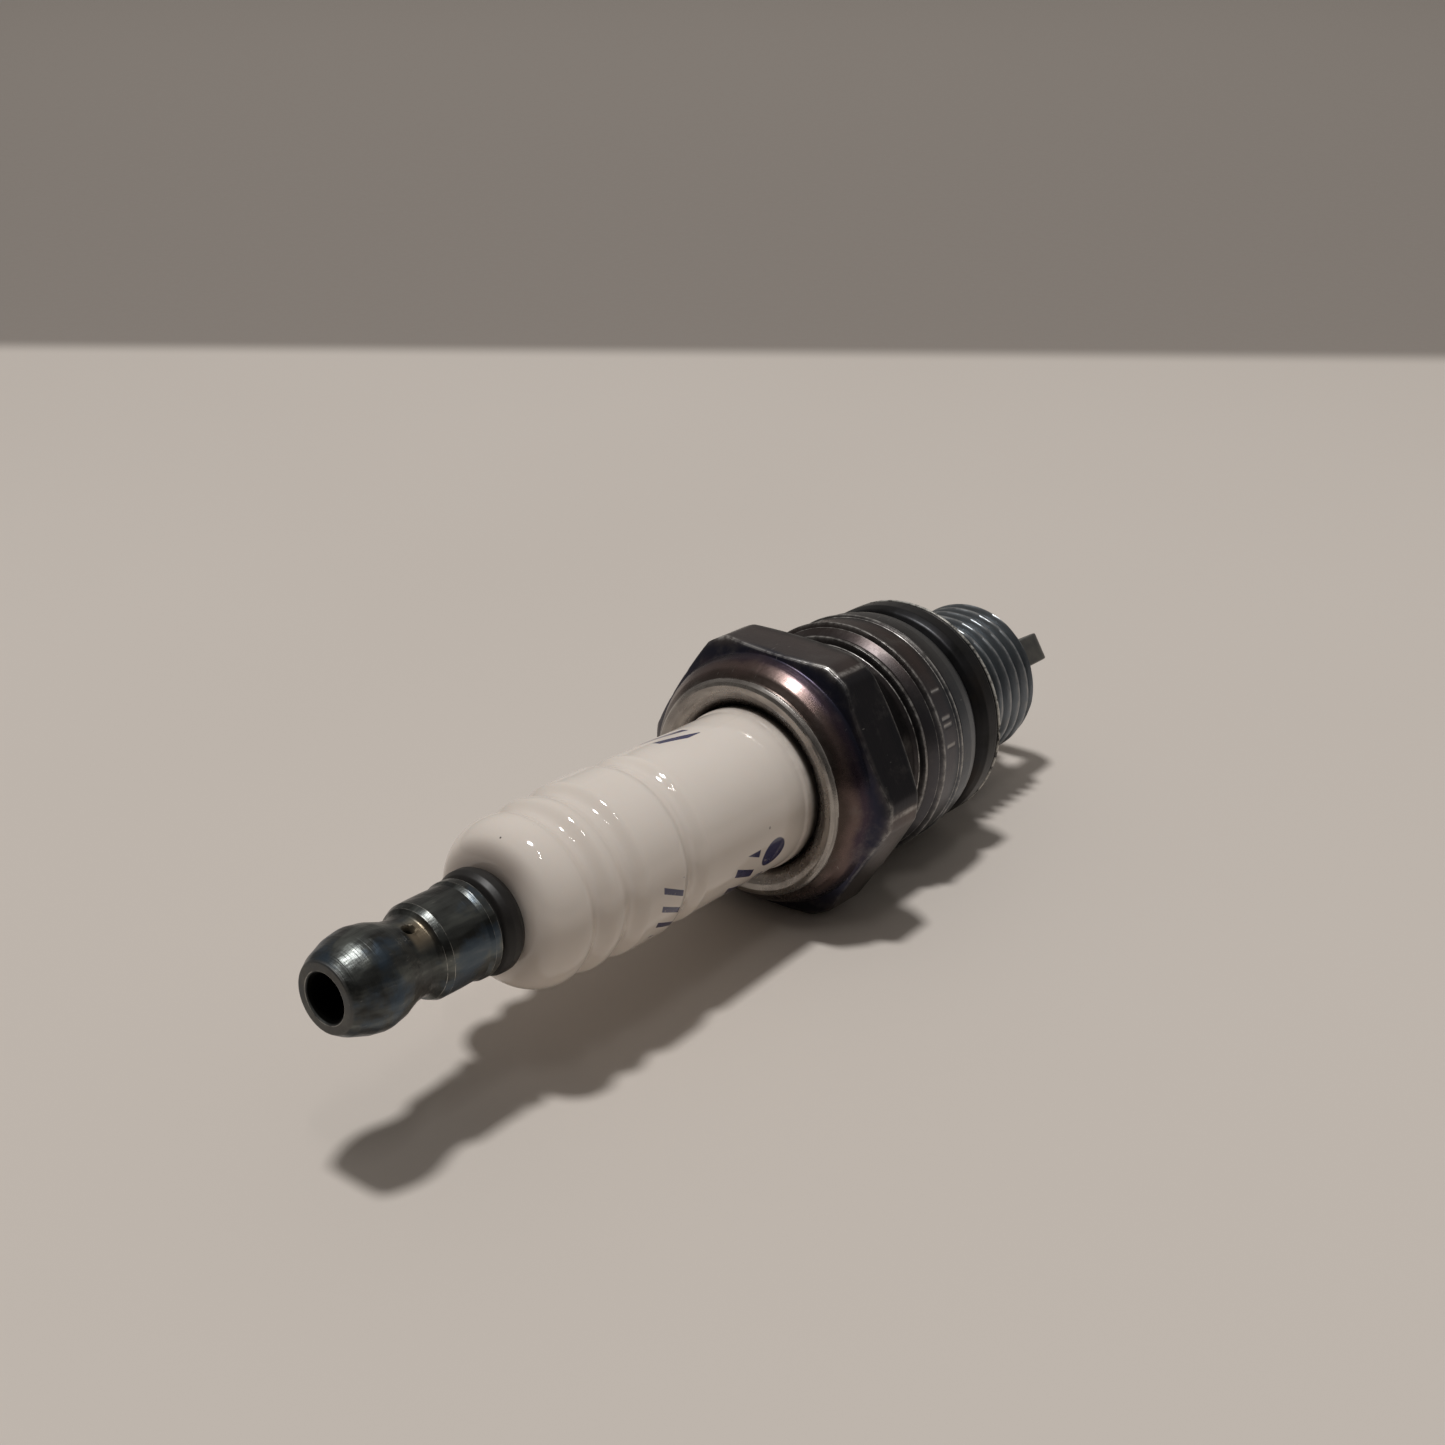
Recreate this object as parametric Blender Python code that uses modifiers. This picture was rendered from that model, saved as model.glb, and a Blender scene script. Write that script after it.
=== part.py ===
"""Spark plug: M12 x 1.25 thread, 12.7 mm reach, 19 mm hexagon, screw-off terminal nut.

Every sub-part is turned about the plug's own axis.  Outlines are pairs of
(radius, height) in millimetres.  Height 0 is the shell's sealing seat, plus is
towards the terminal nut and minus is towards the spark gap.  The finished plug
lies along world X on one flat of its hexagon, with +Z up.
"""
import math

import bmesh
import bpy
from mathutils import Matrix, Vector

MM = 0.001
FINE_SEGMENTS = 36
COARSE_SEGMENTS = 24
GAP = 0.10

# Driving dimensions, millimetres.
HEX_ACROSS_FLATS = 19.0
HEX_CORNER_R = 10.45
HEX_REAR, HEX_FRONT = 10.95, 15.2
THREAD_MAJOR_R = 6.0
THREAD_ROOT_R = 5.25
PITCH = 1.25
REACH = 12.7
RELIEF_R = 5.1
RELIEF_LENGTH = 2.9
SEAT_FLANGE_R = 8.85
GASKET_R = 8.6
GASKET_THICKNESS = 2.55
GASKET_BORE_R = 5.55
SHELL_BORE_R = 6.9
SHELL_NECK_R = 4.3
FIRING_BORE_R = 4.0
SEAT_LEDGE_R = 3.5
LIP_TOP = 17.7
GROOVE_R = 7.6
THREAD_END_R = 5.15
CERAMIC_TOP = 42.6
CERAMIC_R = 5.75
CERAMIC_HEAD_R = 6.75
CERAMIC_NECK_R = 4.15
NOSE_END = -13.5
STUD_BORE_R = 2.1
ELECTRODE_BORE_R = 1.35
FLANGE_R = 3.42
FLANGE_TOP = 44.5
NUT_REAR = 44.7
NUT_FRONT = 55.75
NUT_BULGE_R = 3.175
NUT_BORE_R = 1.62
STUD_THREAD_R = 1.52
STUD_TOP = 52.8
STUD_PITCH = 0.7
STUD_TURNS = 11
STUD_FOOT = 22.0
ELECTRODE_TOP = 4.4
CORE_R = 0.65
CORE_END = -12.0
SPARK_TIP = -14.4
SPARK_GAP = 0.7
STRAP_THICKNESS = 1.3
STRAP_WIDTH = 2.2
STRAP_OUTER_R = 5.1
# Degrees round from the top, towards +Y.
STRAP_AROUND = 56.3
STAKE_AROUND = 19.0

STRAP_END = SPARK_TIP - SPARK_GAP - STRAP_THICKNESS
MIDDLE = (NUT_FRONT + STRAP_END) / 2
AXIS_HEIGHT = HEX_ACROSS_FLATS / 2


def clear_scene():
    for scene_object in list(bpy.data.objects):
        bpy.data.objects.remove(scene_object, do_unlink=True)


def new_collection(name):
    collection = bpy.data.collections.new(name)
    bpy.context.scene.collection.children.link(collection)
    return collection


def make_material(name, colour, roughness, metallic):
    material = bpy.data.materials.new(name)
    material.use_nodes = True
    shader = material.node_tree.nodes["Principled BSDF"]
    shader.inputs["Base Color"].default_value = (*colour, 1.0)
    shader.inputs["Roughness"].default_value = roughness
    shader.inputs["Metallic"].default_value = metallic
    return material


def place(name, mesh, collection, axis, material=None):
    """Put a mesh built along local Z on the plug's axis."""
    part = bpy.data.objects.new(name, mesh)
    collection.objects.link(part)
    part.parent = axis
    if material:
        mesh.materials.append(material)
    return part


def hide_as_tool(tool):
    tool.hide_render = True
    tool.display_type = "WIRE"


def arc(centre_r, centre_h, radius, start, end, pieces):
    """Points on an arc; 0 degrees is straight out, 90 is towards the terminal."""
    points = []
    for step in range(pieces + 1):
        angle = math.radians(start + (end - start) * step / pieces)
        points.append((centre_r + radius * math.cos(angle), centre_h + radius * math.sin(angle)))
    return points


def turned(name, outline, collection, axis, material=None, closed=True, segments=COARSE_SEGMENTS):
    """Turn an outline about the axis.

    The outline runs down its outer side.  A closed one is a ring; an open one
    starts and ends on the axis and is a solid or a cup.
    """
    mesh = bpy.data.meshes.new(name)
    points = [(radius * MM, 0.0, height * MM) for radius, height in outline]
    edges = [(index, index + 1) for index in range(len(points) - 1)]
    if closed:
        edges.append((len(points) - 1, 0))
    mesh.from_pydata(points, edges, [])
    part = place(name, mesh, collection, axis, material)
    screw = part.modifiers.new("turn", "SCREW")
    screw.axis = "Z"
    screw.steps = segments
    screw.render_steps = segments
    screw.use_merge_vertices = True
    screw.merge_threshold = 0.000001
    screw.use_smooth_shade = True
    return part


def outward(around):
    """The direction away from the axis, so many degrees round from the top."""
    angle = math.radians(around)
    return Vector((-math.cos(angle), math.sin(angle), 0.0))


def boolean(part, tool, operation):
    cut = part.modifiers.new(operation.lower(), "BOOLEAN")
    cut.operation = operation
    cut.object = tool
    cut.solver = "EXACT"


# --- Terminal end ---------------------------------------------------------

def build_terminal_nut(collection, tools, axis):
    """Removable nut: rear flange, collar, waist and rounded snap-on head."""
    material = make_material("blued_zinc", (0.10, 0.12, 0.14), 0.32, 0.9)
    outline = [(NUT_BORE_R, NUT_FRONT - 0.25), (NUT_BORE_R + 0.2, NUT_FRONT)]
    outline += [(2.25, NUT_FRONT), (2.4, NUT_FRONT - 0.15)]
    outline += [(2.68, 55.0), (2.96, 54.2), (3.12, 53.5), (NUT_BULGE_R, 52.8), (3.12, 52.1)]
    outline += [(2.93, 51.4), (2.7, 50.75), (2.55, 50.2), (2.52, 49.7), (2.62, 49.35)]
    outline += [(2.8, 49.2), (3.05, 48.5), (3.05, 45.4), (3.2, 45.3), (3.2, NUT_REAR + 0.08)]
    outline += [(3.12, NUT_REAR), (NUT_BORE_R + 0.2, NUT_REAR), (NUT_BORE_R, NUT_REAR + 0.25)]
    nut = turned("terminal_nut", outline, collection, axis, material)
    stake = bpy.data.meshes.new("stake_mark")
    mesh = bmesh.new()
    bmesh.ops.create_cone(mesh, cap_ends=True, segments=12, radius1=0.26, radius2=0.36, depth=0.9)
    mesh.transform(Matrix.Scale(MM, 4))
    mesh.to_mesh(stake)
    mesh.free()
    punch = place("stake_punch", stake, tools, axis)
    direction = outward(STAKE_AROUND)
    punch.rotation_euler = direction.to_track_quat("Z", "Y").to_euler()
    punch.location = (direction * 2.67 + Vector((0.0, 0.0, 50.08))) * MM
    hide_as_tool(punch)
    boolean(nut, punch, "DIFFERENCE")


def build_terminal_stud(collection, axis):
    """Stud: threaded top for the nut, rolled flange on the ceramic, grooved foot in the glass."""
    material = make_material("blackened_steel", (0.03, 0.025, 0.022), 0.5, 0.7)
    outline = [(0.0, STUD_TOP), (STUD_THREAD_R - 0.3, STUD_TOP)]
    for turn in range(STUD_TURNS):
        crest = STUD_TOP - 0.35 - turn * STUD_PITCH
        outline += [(STUD_THREAD_R, crest), (STUD_THREAD_R - 0.22, crest - STUD_PITCH / 2)]
    outline += [(STUD_THREAD_R - 0.22, FLANGE_TOP), (2.75, FLANGE_TOP)]
    outline += arc(2.52, 43.6, FLANGE_R - 2.52, 60, -62, 5)
    outline += [(2.6, CERAMIC_TOP + GAP), (1.95, CERAMIC_TOP + GAP), (1.95, 26.9)]
    for groove in range(4):
        height = 26.6 - groove * 1.1
        outline += [(1.72, height), (1.95, height - 0.5)]
    outline += [(1.6, STUD_FOOT), (0.0, STUD_FOOT)]
    turned("terminal_stud", outline, collection, axis, material, closed=False)


# --- Ceramic and what is sealed inside it ----------------------------------

def build_insulator(collection, axis):
    """Glazed body: rounded top, leak-path ribs, barrel, head inside the shell, firing nose."""
    material = make_material("glazed_alumina", (0.80, 0.77, 0.71), 0.12, 0.0)
    outline = [(STUD_BORE_R, CERAMIC_TOP), (3.1, CERAMIC_TOP)]
    outline += arc(3.01, 39.95, 2.65, 76, 0, 6)
    outline += [(5.6, 39.4), (5.38, 38.95), (5.22, 38.6), (5.2, 38.35), (5.38, 38.0), (5.64, 37.5)]
    outline += [(5.77, 37.0), (5.78, 36.5), (5.72, 36.2), (5.5, 35.85), (5.32, 35.6), (5.3, 35.4)]
    outline += [(5.48, 35.0), (5.74, 34.5), (5.89, 33.9), (5.93, 33.2), (5.93, 30.9), (5.84, 30.4)]
    outline += [(5.6, 29.95), (5.42, 29.6), (5.42, 29.35), (5.58, 28.9), (5.76, 28.3), (5.8, 27.7)]
    outline += [(CERAMIC_R, 22.0), (CERAMIC_R, 14.1)]
    outline += [(5.9, 13.5), (CERAMIC_HEAD_R - 0.2, 13.2), (CERAMIC_HEAD_R, 12.9)]
    outline += [(CERAMIC_HEAD_R, 6.2), (CERAMIC_HEAD_R - 0.3, 5.8), (CERAMIC_NECK_R, 4.4)]
    outline += [(CERAMIC_NECK_R, -3.0), (3.25, -3.9), (3.05, -4.6), (2.0, NOSE_END + 0.2)]
    outline += [(1.85, NOSE_END), (ELECTRODE_BORE_R, NOSE_END), (ELECTRODE_BORE_R, 1.9)]
    outline += [(STUD_BORE_R, 2.4)]
    turned("insulator", outline, collection, axis, material, segments=FINE_SEGMENTS)


def build_sealed_slug(name, colour, roughness, metallic, top, bottom, collection, axis):
    """A plain slug that fills the ceramic's bore between two heights."""
    material = make_material(name + "_material", colour, roughness, metallic)
    radius = STUD_BORE_R - GAP
    outline = [(0.0, top), (radius, top), (radius, bottom), (0.0, bottom)]
    turned(name, outline, collection, axis, material, closed=False)


def build_centre_electrode(collection, axis):
    """Nickel cup whose head rests on the bore's step; its copper core is open at the top."""
    nickel = make_material("nickel_alloy", (0.42, 0.40, 0.37), 0.35, 1.0)
    copper = make_material("core_copper", (0.72, 0.40, 0.26), 0.3, 1.0)
    outline = [(0.0, CORE_END), (CORE_R + GAP, CORE_END), (CORE_R + GAP, ELECTRODE_TOP)]
    outline += [(1.5, ELECTRODE_TOP), (1.95, ELECTRODE_TOP - 0.4), (1.95, 2.75), (1.25, 2.05)]
    outline += [(1.25, SPARK_TIP + 0.1), (1.15, SPARK_TIP), (0.0, SPARK_TIP)]
    turned("centre_electrode", outline, collection, axis, nickel, closed=False)
    top = ELECTRODE_TOP - GAP
    bottom = CORE_END + GAP
    outline = [(0.0, top), (CORE_R, top), (CORE_R, bottom), (0.0, bottom)]
    turned("centre_electrode_core", outline, collection, axis, copper, closed=False)


# --- Shell ------------------------------------------------------------------

def thread_radius(height, around):
    """Shell thread: flat crests and roots, 60 degree flanks, a chamfered end and a runout."""
    phase = (height / PITCH - around / (2 * math.pi)) % 1.0
    across = abs(phase - 0.5) * 2
    ridge = min(max((across - 0.2) / 0.6, 0.0), 1.0)
    radius = THREAD_ROOT_R + (THREAD_MAJOR_R - THREAD_ROOT_R) * ridge
    chamfer = THREAD_END_R + (height + REACH) * 1.0
    runout = RELIEF_R + (-RELIEF_LENGTH - height) * 1.6
    return min(radius, chamfer, runout)


def add_thread(mesh):
    """Helical rows of vertices, held between the thread's two flat ends.

    Made by hand because the crests climb as they go round, which a turned
    outline can't do without leaving ragged ends.  Returns the end rings.
    """
    steps = (0.1, 0.4, 0.6, 0.9)
    turns = int((REACH - RELIEF_LENGTH) / PITCH) + 3
    top = -RELIEF_LENGTH
    columns = []
    for column in range(FINE_SEGMENTS + 1):
        around = 2 * math.pi * column / FINE_SEGMENTS
        start = math.floor(-REACH / PITCH) - 1 + column / FINE_SEGMENTS
        column_vertices = []
        for turn in range(turns):
            for step in steps:
                height = min(max((start + turn + step) * PITCH, -REACH), top)
                radius = thread_radius(height, around)
                spot = (radius * math.cos(around), radius * math.sin(around), height)
                column_vertices.append(mesh.verts.new(spot))
        columns.append(column_vertices)
    for left, right in zip(columns, columns[1:]):
        for row in range(len(left) - 1):
            mesh.faces.new((left[row], right[row], right[row + 1], left[row + 1]))


def ring_of_vertices(mesh, radius, height):
    ring = []
    for column in range(FINE_SEGMENTS):
        around = 2 * math.pi * column / FINE_SEGMENTS
        ring.append(mesh.verts.new((radius * math.cos(around), radius * math.sin(around), height)))
    return ring


def shell_outline():
    """The shell from the thread's inner end, up its outside, over the lip and down the bore."""
    outline = [(RELIEF_R, -RELIEF_LENGTH), (RELIEF_R, 0.0), (7.85, 0.0), (8.05, 0.12)]
    outline += [(8.5, 0.8), (8.72, 1.7), (8.75, 2.95), (SEAT_FLANGE_R, 3.13), (8.93, 5.6)]
    outline += [(8.85, 5.75), (8.15, 6.85), (8.0, 7.0), (GROOVE_R, 7.3), (GROOVE_R, 11.2)]
    outline += [(9.1, 11.6), (9.36, 14.7), (9.24, 15.3), (8.88, 15.9), (8.42, 16.6), (8.06, 17.15)]
    outline += [(7.86, 17.42), (7.7, 17.6), (7.45, LIP_TOP), (7.0, 17.62), (6.35, 17.3)]
    outline += [(6.0, 17.0), (5.95, 16.85), (6.3, 16.72), (SHELL_BORE_R, 16.66)]
    outline += [(SHELL_BORE_R, 6.05), (6.55, 5.62), (SHELL_NECK_R, 4.22), (SHELL_NECK_R, -3.55)]
    outline += [(SEAT_LEDGE_R, -4.35), (SEAT_LEDGE_R, -5.2), (FIRING_BORE_R, -6.0)]
    outline += [(FIRING_BORE_R, -REACH), (THREAD_END_R, -REACH)]
    return outline


def build_shell(collection, tools, axis):
    """Steel shell: thread, relief, seat flange, ring bands, hot-crimp groove, hexagon and domed lip."""
    material = make_material("blued_shell_steel", (0.13, 0.12, 0.13), 0.35, 0.95)
    mesh = bmesh.new()
    add_thread(mesh)
    rings = [ring_of_vertices(mesh, *point) for point in shell_outline()]
    for low, high in zip(rings, rings[1:]):
        for column in range(FINE_SEGMENTS):
            following = (column + 1) % FINE_SEGMENTS
            mesh.faces.new((low[column], low[following], high[following], high[column]))
    bmesh.ops.remove_doubles(mesh, verts=mesh.verts, dist=0.002)
    bmesh.ops.recalc_face_normals(mesh, faces=mesh.faces)
    mesh.transform(Matrix.Scale(MM, 4))
    data = bpy.data.meshes.new("shell")
    mesh.to_mesh(data)
    mesh.free()
    shell = place("shell", data, collection, axis, material)
    hexagon = build_hexagon(tools, axis)
    boolean(shell, hexagon, "UNION")


def build_hexagon(tools, axis):
    """A hexagonal ring with rounded corners and both ends coned off."""
    mesh = bmesh.new()
    corner_r = HEX_ACROSS_FLATS / 2 / math.cos(math.pi / 6)
    bmesh.ops.create_cone(
        mesh, cap_ends=True, segments=6, radius1=corner_r, radius2=corner_r, depth=8.0
    )
    mesh.transform(Matrix.Translation((0.0, 0.0, (HEX_REAR + HEX_FRONT) / 2)))
    mesh.transform(Matrix.Scale(MM, 4))
    data = bpy.data.meshes.new("hexagon")
    mesh.to_mesh(data)
    mesh.free()
    hexagon = place("hexagon_blank", data, tools, axis)
    hide_as_tool(hexagon)
    inner_r = GROOVE_R - 0.15
    flat_r = HEX_ACROSS_FLATS / 2
    outline = [(inner_r, HEX_FRONT - 0.1), (flat_r - 0.18, HEX_FRONT), (HEX_CORNER_R, HEX_FRONT - 0.6)]
    outline += [(HEX_CORNER_R, HEX_REAR + 0.4), (flat_r, HEX_REAR), (inner_r, HEX_REAR)]
    envelope = turned("hexagon_envelope", outline, tools, axis, segments=FINE_SEGMENTS)
    hide_as_tool(envelope)
    boolean(hexagon, envelope, "INTERSECT")
    return hexagon


def build_shell_seals(collection, axis):
    """Two wire rings and packed talc above the ceramic's head, one washer under its neck."""
    steel = make_material("ring_steel", (0.35, 0.35, 0.36), 0.4, 1.0)
    talc = make_material("packed_talc", (0.78, 0.77, 0.74), 0.9, 0.0)
    wire_r = 0.38
    for name, centre in (("upper_packing_ring", (6.35, 16.22)), ("lower_packing_ring", (6.4, 13.87))):
        outline = arc(*centre, wire_r, 90, -240, 11)
        turned(name, outline, collection, axis, steel)
    outline = [(5.87, 15.72), (6.78, 15.72), (6.78, 14.36), (5.87, 14.36)]
    turned("talc_fill", outline, collection, axis, talc)
    outline = [(3.6, -3.69), (4.2, -3.09), (4.2, -3.51), (3.6, -4.11)]
    turned("inner_seat_washer", outline, collection, axis, steel)


# --- Gasket and ground strap --------------------------------------------------

def build_gasket(collection, axis):
    """Folded crush washer: a rounded outer bend and a fold that opens inwards."""
    material = make_material("gasket_steel", (0.12, 0.12, 0.12), 0.45, 0.9)
    front = -GAP
    back = front - GASKET_THICKNESS
    outline = [(GASKET_BORE_R, front), (7.9, front), (8.35, front - 0.25), (8.55, front - 0.7)]
    outline += [(GASKET_R, front - 1.25), (8.58, back + 0.45), (8.5, back + 0.12), (8.35, back)]
    outline += [(6.15, back), (GASKET_BORE_R, back + 0.2), (GASKET_BORE_R, back + 0.75), (7.6, back + 0.75)]
    outline += [(7.8, (front + back) / 2), (7.6, front - 0.75), (GASKET_BORE_R, front - 0.75)]
    turned("outer_gasket", outline, collection, axis, material, segments=FINE_SEGMENTS)


def build_ground_electrode(collection, axis):
    """Nickel strap from the thread's end face, bent over the centre electrode's tip."""
    material = make_material("strap_nickel", (0.33, 0.34, 0.34), 0.45, 0.95)
    bend_r = 1.5
    inner_r = STRAP_OUTER_R - STRAP_THICKNESS
    bend = (STRAP_OUTER_R - bend_r, STRAP_END + bend_r)
    foot = -REACH - GAP
    outline = [(STRAP_OUTER_R, foot)]
    outline += arc(*bend, bend_r, 0, -90, 6)
    outline += [(-1.2, STRAP_END), (-1.2, STRAP_END + STRAP_THICKNESS)]
    outline += arc(*bend, bend_r - STRAP_THICKNESS, -90, 0, 3)
    outline += [(inner_r, foot)]
    curve = bpy.data.curves.new("ground_electrode_outline", "CURVE")
    curve.dimensions = "2D"
    curve.fill_mode = "BOTH"
    curve.extrude = STRAP_WIDTH / 2 * MM
    spline = curve.splines.new("POLY")
    spline.points.add(len(outline) - 1)
    for point, (radius, height) in zip(spline.points, outline):
        point.co = (radius * MM, height * MM, 0.0, 1.0)
    spline.use_cyclic_u = True
    flat = bpy.data.objects.new("ground_electrode_outline", curve)
    collection.objects.link(flat)
    depsgraph = bpy.context.evaluated_depsgraph_get()
    mesh = bpy.data.meshes.new_from_object(flat.evaluated_get(depsgraph))
    bpy.data.objects.remove(flat, do_unlink=True)
    welded = bmesh.new()
    welded.from_mesh(mesh)
    bmesh.ops.remove_doubles(welded, verts=welded.verts, dist=0.000001)
    bmesh.ops.recalc_face_normals(welded, faces=welded.faces)
    welded.to_mesh(mesh)
    welded.free()
    mesh.name = "ground_electrode"
    mesh.materials.clear()
    strap = place("ground_electrode", mesh, collection, axis, material)
    across = outward(STRAP_AROUND)
    along = Vector((0.0, 0.0, 1.0))
    sideways = across.cross(along)
    strap.matrix_local = Matrix((across, along, sideways)).transposed().to_4x4()
    edges = strap.modifiers.new("soft_edges", "BEVEL")
    edges.width = 0.1 * MM
    edges.segments = 1
    edges.limit_method = "ANGLE"
    edges.angle_limit = math.radians(50)


def main():
    clear_scene()
    parts = new_collection("spark_plug")
    tools = new_collection("spark_plug_tools")
    axis = bpy.data.objects.new("plug_axis", None)
    parts.objects.link(axis)
    axis.empty_display_size = 0.01
    axis.location = (-MIDDLE * MM, 0.0, AXIS_HEIGHT * MM)
    axis.rotation_euler = (0.0, math.pi / 2, 0.0)
    bpy.context.view_layer.update()

    build_terminal_nut(parts, tools, axis)
    build_terminal_stud(parts, axis)
    build_insulator(parts, axis)
    glass = (0.16, 0.13, 0.10)
    build_sealed_slug("upper_glass_seal", glass, 0.3, 0.0, STUD_FOOT - GAP, 17.6, parts, axis)
    build_sealed_slug("resistor", (0.07, 0.07, 0.07), 0.7, 0.0, 17.5, 9.6, parts, axis)
    build_sealed_slug("lower_glass_seal", glass, 0.3, 0.0, 9.5, ELECTRODE_TOP + GAP, parts, axis)
    build_centre_electrode(parts, axis)
    build_shell(parts, tools, axis)
    build_shell_seals(parts, axis)
    build_gasket(parts, axis)
    build_ground_electrode(parts, axis)


main()
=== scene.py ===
"""Looks for the spark plug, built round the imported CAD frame.

Pieces are turned skins made by numpy from outlines of (radius, height, fillet)
in millimetres.  Height runs along the plug: 0 at the shell's sealing seat, plus
towards the terminal nut.  "Around" is degrees from straight up, towards +Y.
"""
import math

import bmesh
import bpy
import numpy as np
from mathutils import Matrix, Vector


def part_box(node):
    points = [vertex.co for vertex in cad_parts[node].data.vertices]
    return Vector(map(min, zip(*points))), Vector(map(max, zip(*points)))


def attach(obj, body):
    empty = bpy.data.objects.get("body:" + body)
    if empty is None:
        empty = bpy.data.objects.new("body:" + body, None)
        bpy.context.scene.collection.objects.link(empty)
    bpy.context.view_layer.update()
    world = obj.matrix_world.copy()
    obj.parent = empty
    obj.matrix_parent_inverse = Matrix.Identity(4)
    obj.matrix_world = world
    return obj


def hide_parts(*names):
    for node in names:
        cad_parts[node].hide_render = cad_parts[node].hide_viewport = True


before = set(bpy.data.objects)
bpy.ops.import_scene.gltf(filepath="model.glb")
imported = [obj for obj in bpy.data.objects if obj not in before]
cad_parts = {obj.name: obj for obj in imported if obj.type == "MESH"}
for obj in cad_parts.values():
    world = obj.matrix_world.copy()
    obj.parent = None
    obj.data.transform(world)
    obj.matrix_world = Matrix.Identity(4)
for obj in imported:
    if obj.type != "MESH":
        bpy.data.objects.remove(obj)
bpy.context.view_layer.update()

MM = 0.001
GASKET_FRONT = -0.10
SEAT_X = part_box("outer_gasket")[1].x - GASKET_FRONT * MM
AXIS_Z = (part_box("insulator")[0].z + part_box("insulator")[1].z) / 2

# Sizes of the CAD solids, millimetres.
PITCH = 1.25
REACH = 12.7
THREAD_MAJOR_R = 6.0
THREAD_ROOT_R = 5.25
THREAD_END_R = 5.15
RELIEF_R = 5.1
RELIEF_LENGTH = 2.9
FIRING_BORE_R = 4.0
SEAT_LEDGE_R = 3.5
SHELL_NECK_R = 4.3
SHELL_BORE_R = 6.9
LIP_TOP = 17.7
GROOVE_R = 7.6
HEX_HALF = 9.5
HEX_CORNER_R = 10.45
HEX_REAR = 10.95
HEX_FRONT_CORNER = 14.6
GASKET_R = 8.6
GASKET_BORE_R = 5.55
GASKET_FOLD_R = 7.6
GASKET_SHEET = 0.75
GASKET_BACK = -2.65
NUT_REAR = 44.7
NUT_FRONT = 55.75
NUT_BORE_R = 1.62
NUT_FLANGE_R = 3.2
STUD_TOP = 52.8
STUD_THREAD_R = 1.52
STUD_ROOT_R = 1.3
STUD_PITCH = 0.7
STUD_TURNS = 11
STUD_SHANK_R = 1.95
STUD_GROOVE_R = 1.72
STUD_FOOT = 22.0
FLANGE_TOP = 44.5
FLANGE_R = 3.42
CERAMIC_TOP = 42.6
CERAMIC_R = 5.75
CERAMIC_HEAD_R = 6.75
CERAMIC_NECK_R = 4.15
NOSE_END = -13.5
STUD_BORE_R = 2.1
ELECTRODE_BORE_R = 1.35
ELECTRODE_TOP = 4.4
ELECTRODE_R = 1.25
ELECTRODE_HEAD_R = 1.95
CORE_BORE_R = 0.75
CORE_BORE_END = -12.0
SPARK_TIP = -14.4
STRAP_END = -16.4
STRAP_FOOT = -12.8
STRAP_THICKNESS = 1.3
STRAP_WIDTH = 2.2
STRAP_OUTER_R = 5.1
STRAP_BEND_R = 1.5
STRAP_OVERHANG = 1.2

# Degrees round from straight up, towards +Y.
STRAP_AROUND = 56.3
STAKE_AROUND = 19.0

# Rise of the hexagon's coned ends, per millimetre of radius.
HEX_FRONT_RISE = 0.53
HEX_REAR_RISE = 0.42

# Largest fillet that still counts as a sharp edge, which rubs bright.
SHARP_FILLET = 0.13

# Short plain strokes stamped in the rear band: around (degrees), low and high end (mm).
STAMPED_TICKS = ((51.0, 3.9, 4.9), (65.0, 3.9, 4.9), (68.5, 3.9, 4.9), (78.5, 3.9, 4.9))

# The plug lies tilted on its gasket rim and the rear edge of its hexagon's bottom flat,
# so the table slopes this much under the level CAD frame.
TABLE_SLOPE = (HEX_HALF - GASKET_R) / (HEX_REAR - GASKET_BACK)

# Stage, lights and camera: metres, watts and degrees.
TABLE_HALF = 3.0
TABLE_GAP = 0.00002
# Level direction away from the camera, and how far along it the table is painted darker as a shaded wall.
AWAY_X, AWAY_Y = 0.804, 0.594
DARK_START, DARK_END = 0.1285, 0.1365
AIM = Vector((0.0, 0.0, 0.009))
SOFTBOX_PLACE = Vector((0.1185, -0.0677, 1.0))
SOFTBOX_WIDTH = 0.12
SOFTBOX_POWER = 6.1
TUBE_PLACE = Vector((0.24, 0.24, 0.94))
TUBE_WIDTH, TUBE_LENGTH = 0.012, 0.20
TUBE_POWER = 0.35
CAMERA_YAW, CAMERA_PITCH, CAMERA_ROLL = 37.52, 23.01, 2.47
CAMERA_LENS = 50.58
# From the middle of the shell's seat, millimetres.
CAMERA_OFFSET = Vector((120.44, 76.91, 59.51))
# The room's light comes most from this direction, and least from the opposite one.
ROOM_BRIGHT_SIDE = (-0.55, -0.45, 0.70)
ROOM_DIM, ROOM_BRIGHT = 0.03, 0.29


# --- Outlines and skins -------------------------------------------------------

def noise_wave(values, seed, octaves=4):
    """Smooth, repeatable 1-D noise between about -1 and 1 (values in cycles)."""
    random = np.random.RandomState(seed)
    total = np.zeros_like(values, dtype=float)
    for octave in range(octaves):
        frequency = random.uniform(0.8, 1.3) * 2 ** octave
        total += np.sin(2 * np.pi * (values * frequency + random.rand())) / 2 ** octave
    return total / 2


def turns(angles):
    """Angles as a share of a full turn."""
    return angles / (2 * np.pi)


def signed_degrees(angles):
    """Angles as degrees between -180 and 180."""
    return np.degrees((angles + np.pi) % (2 * np.pi) - np.pi)


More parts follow.
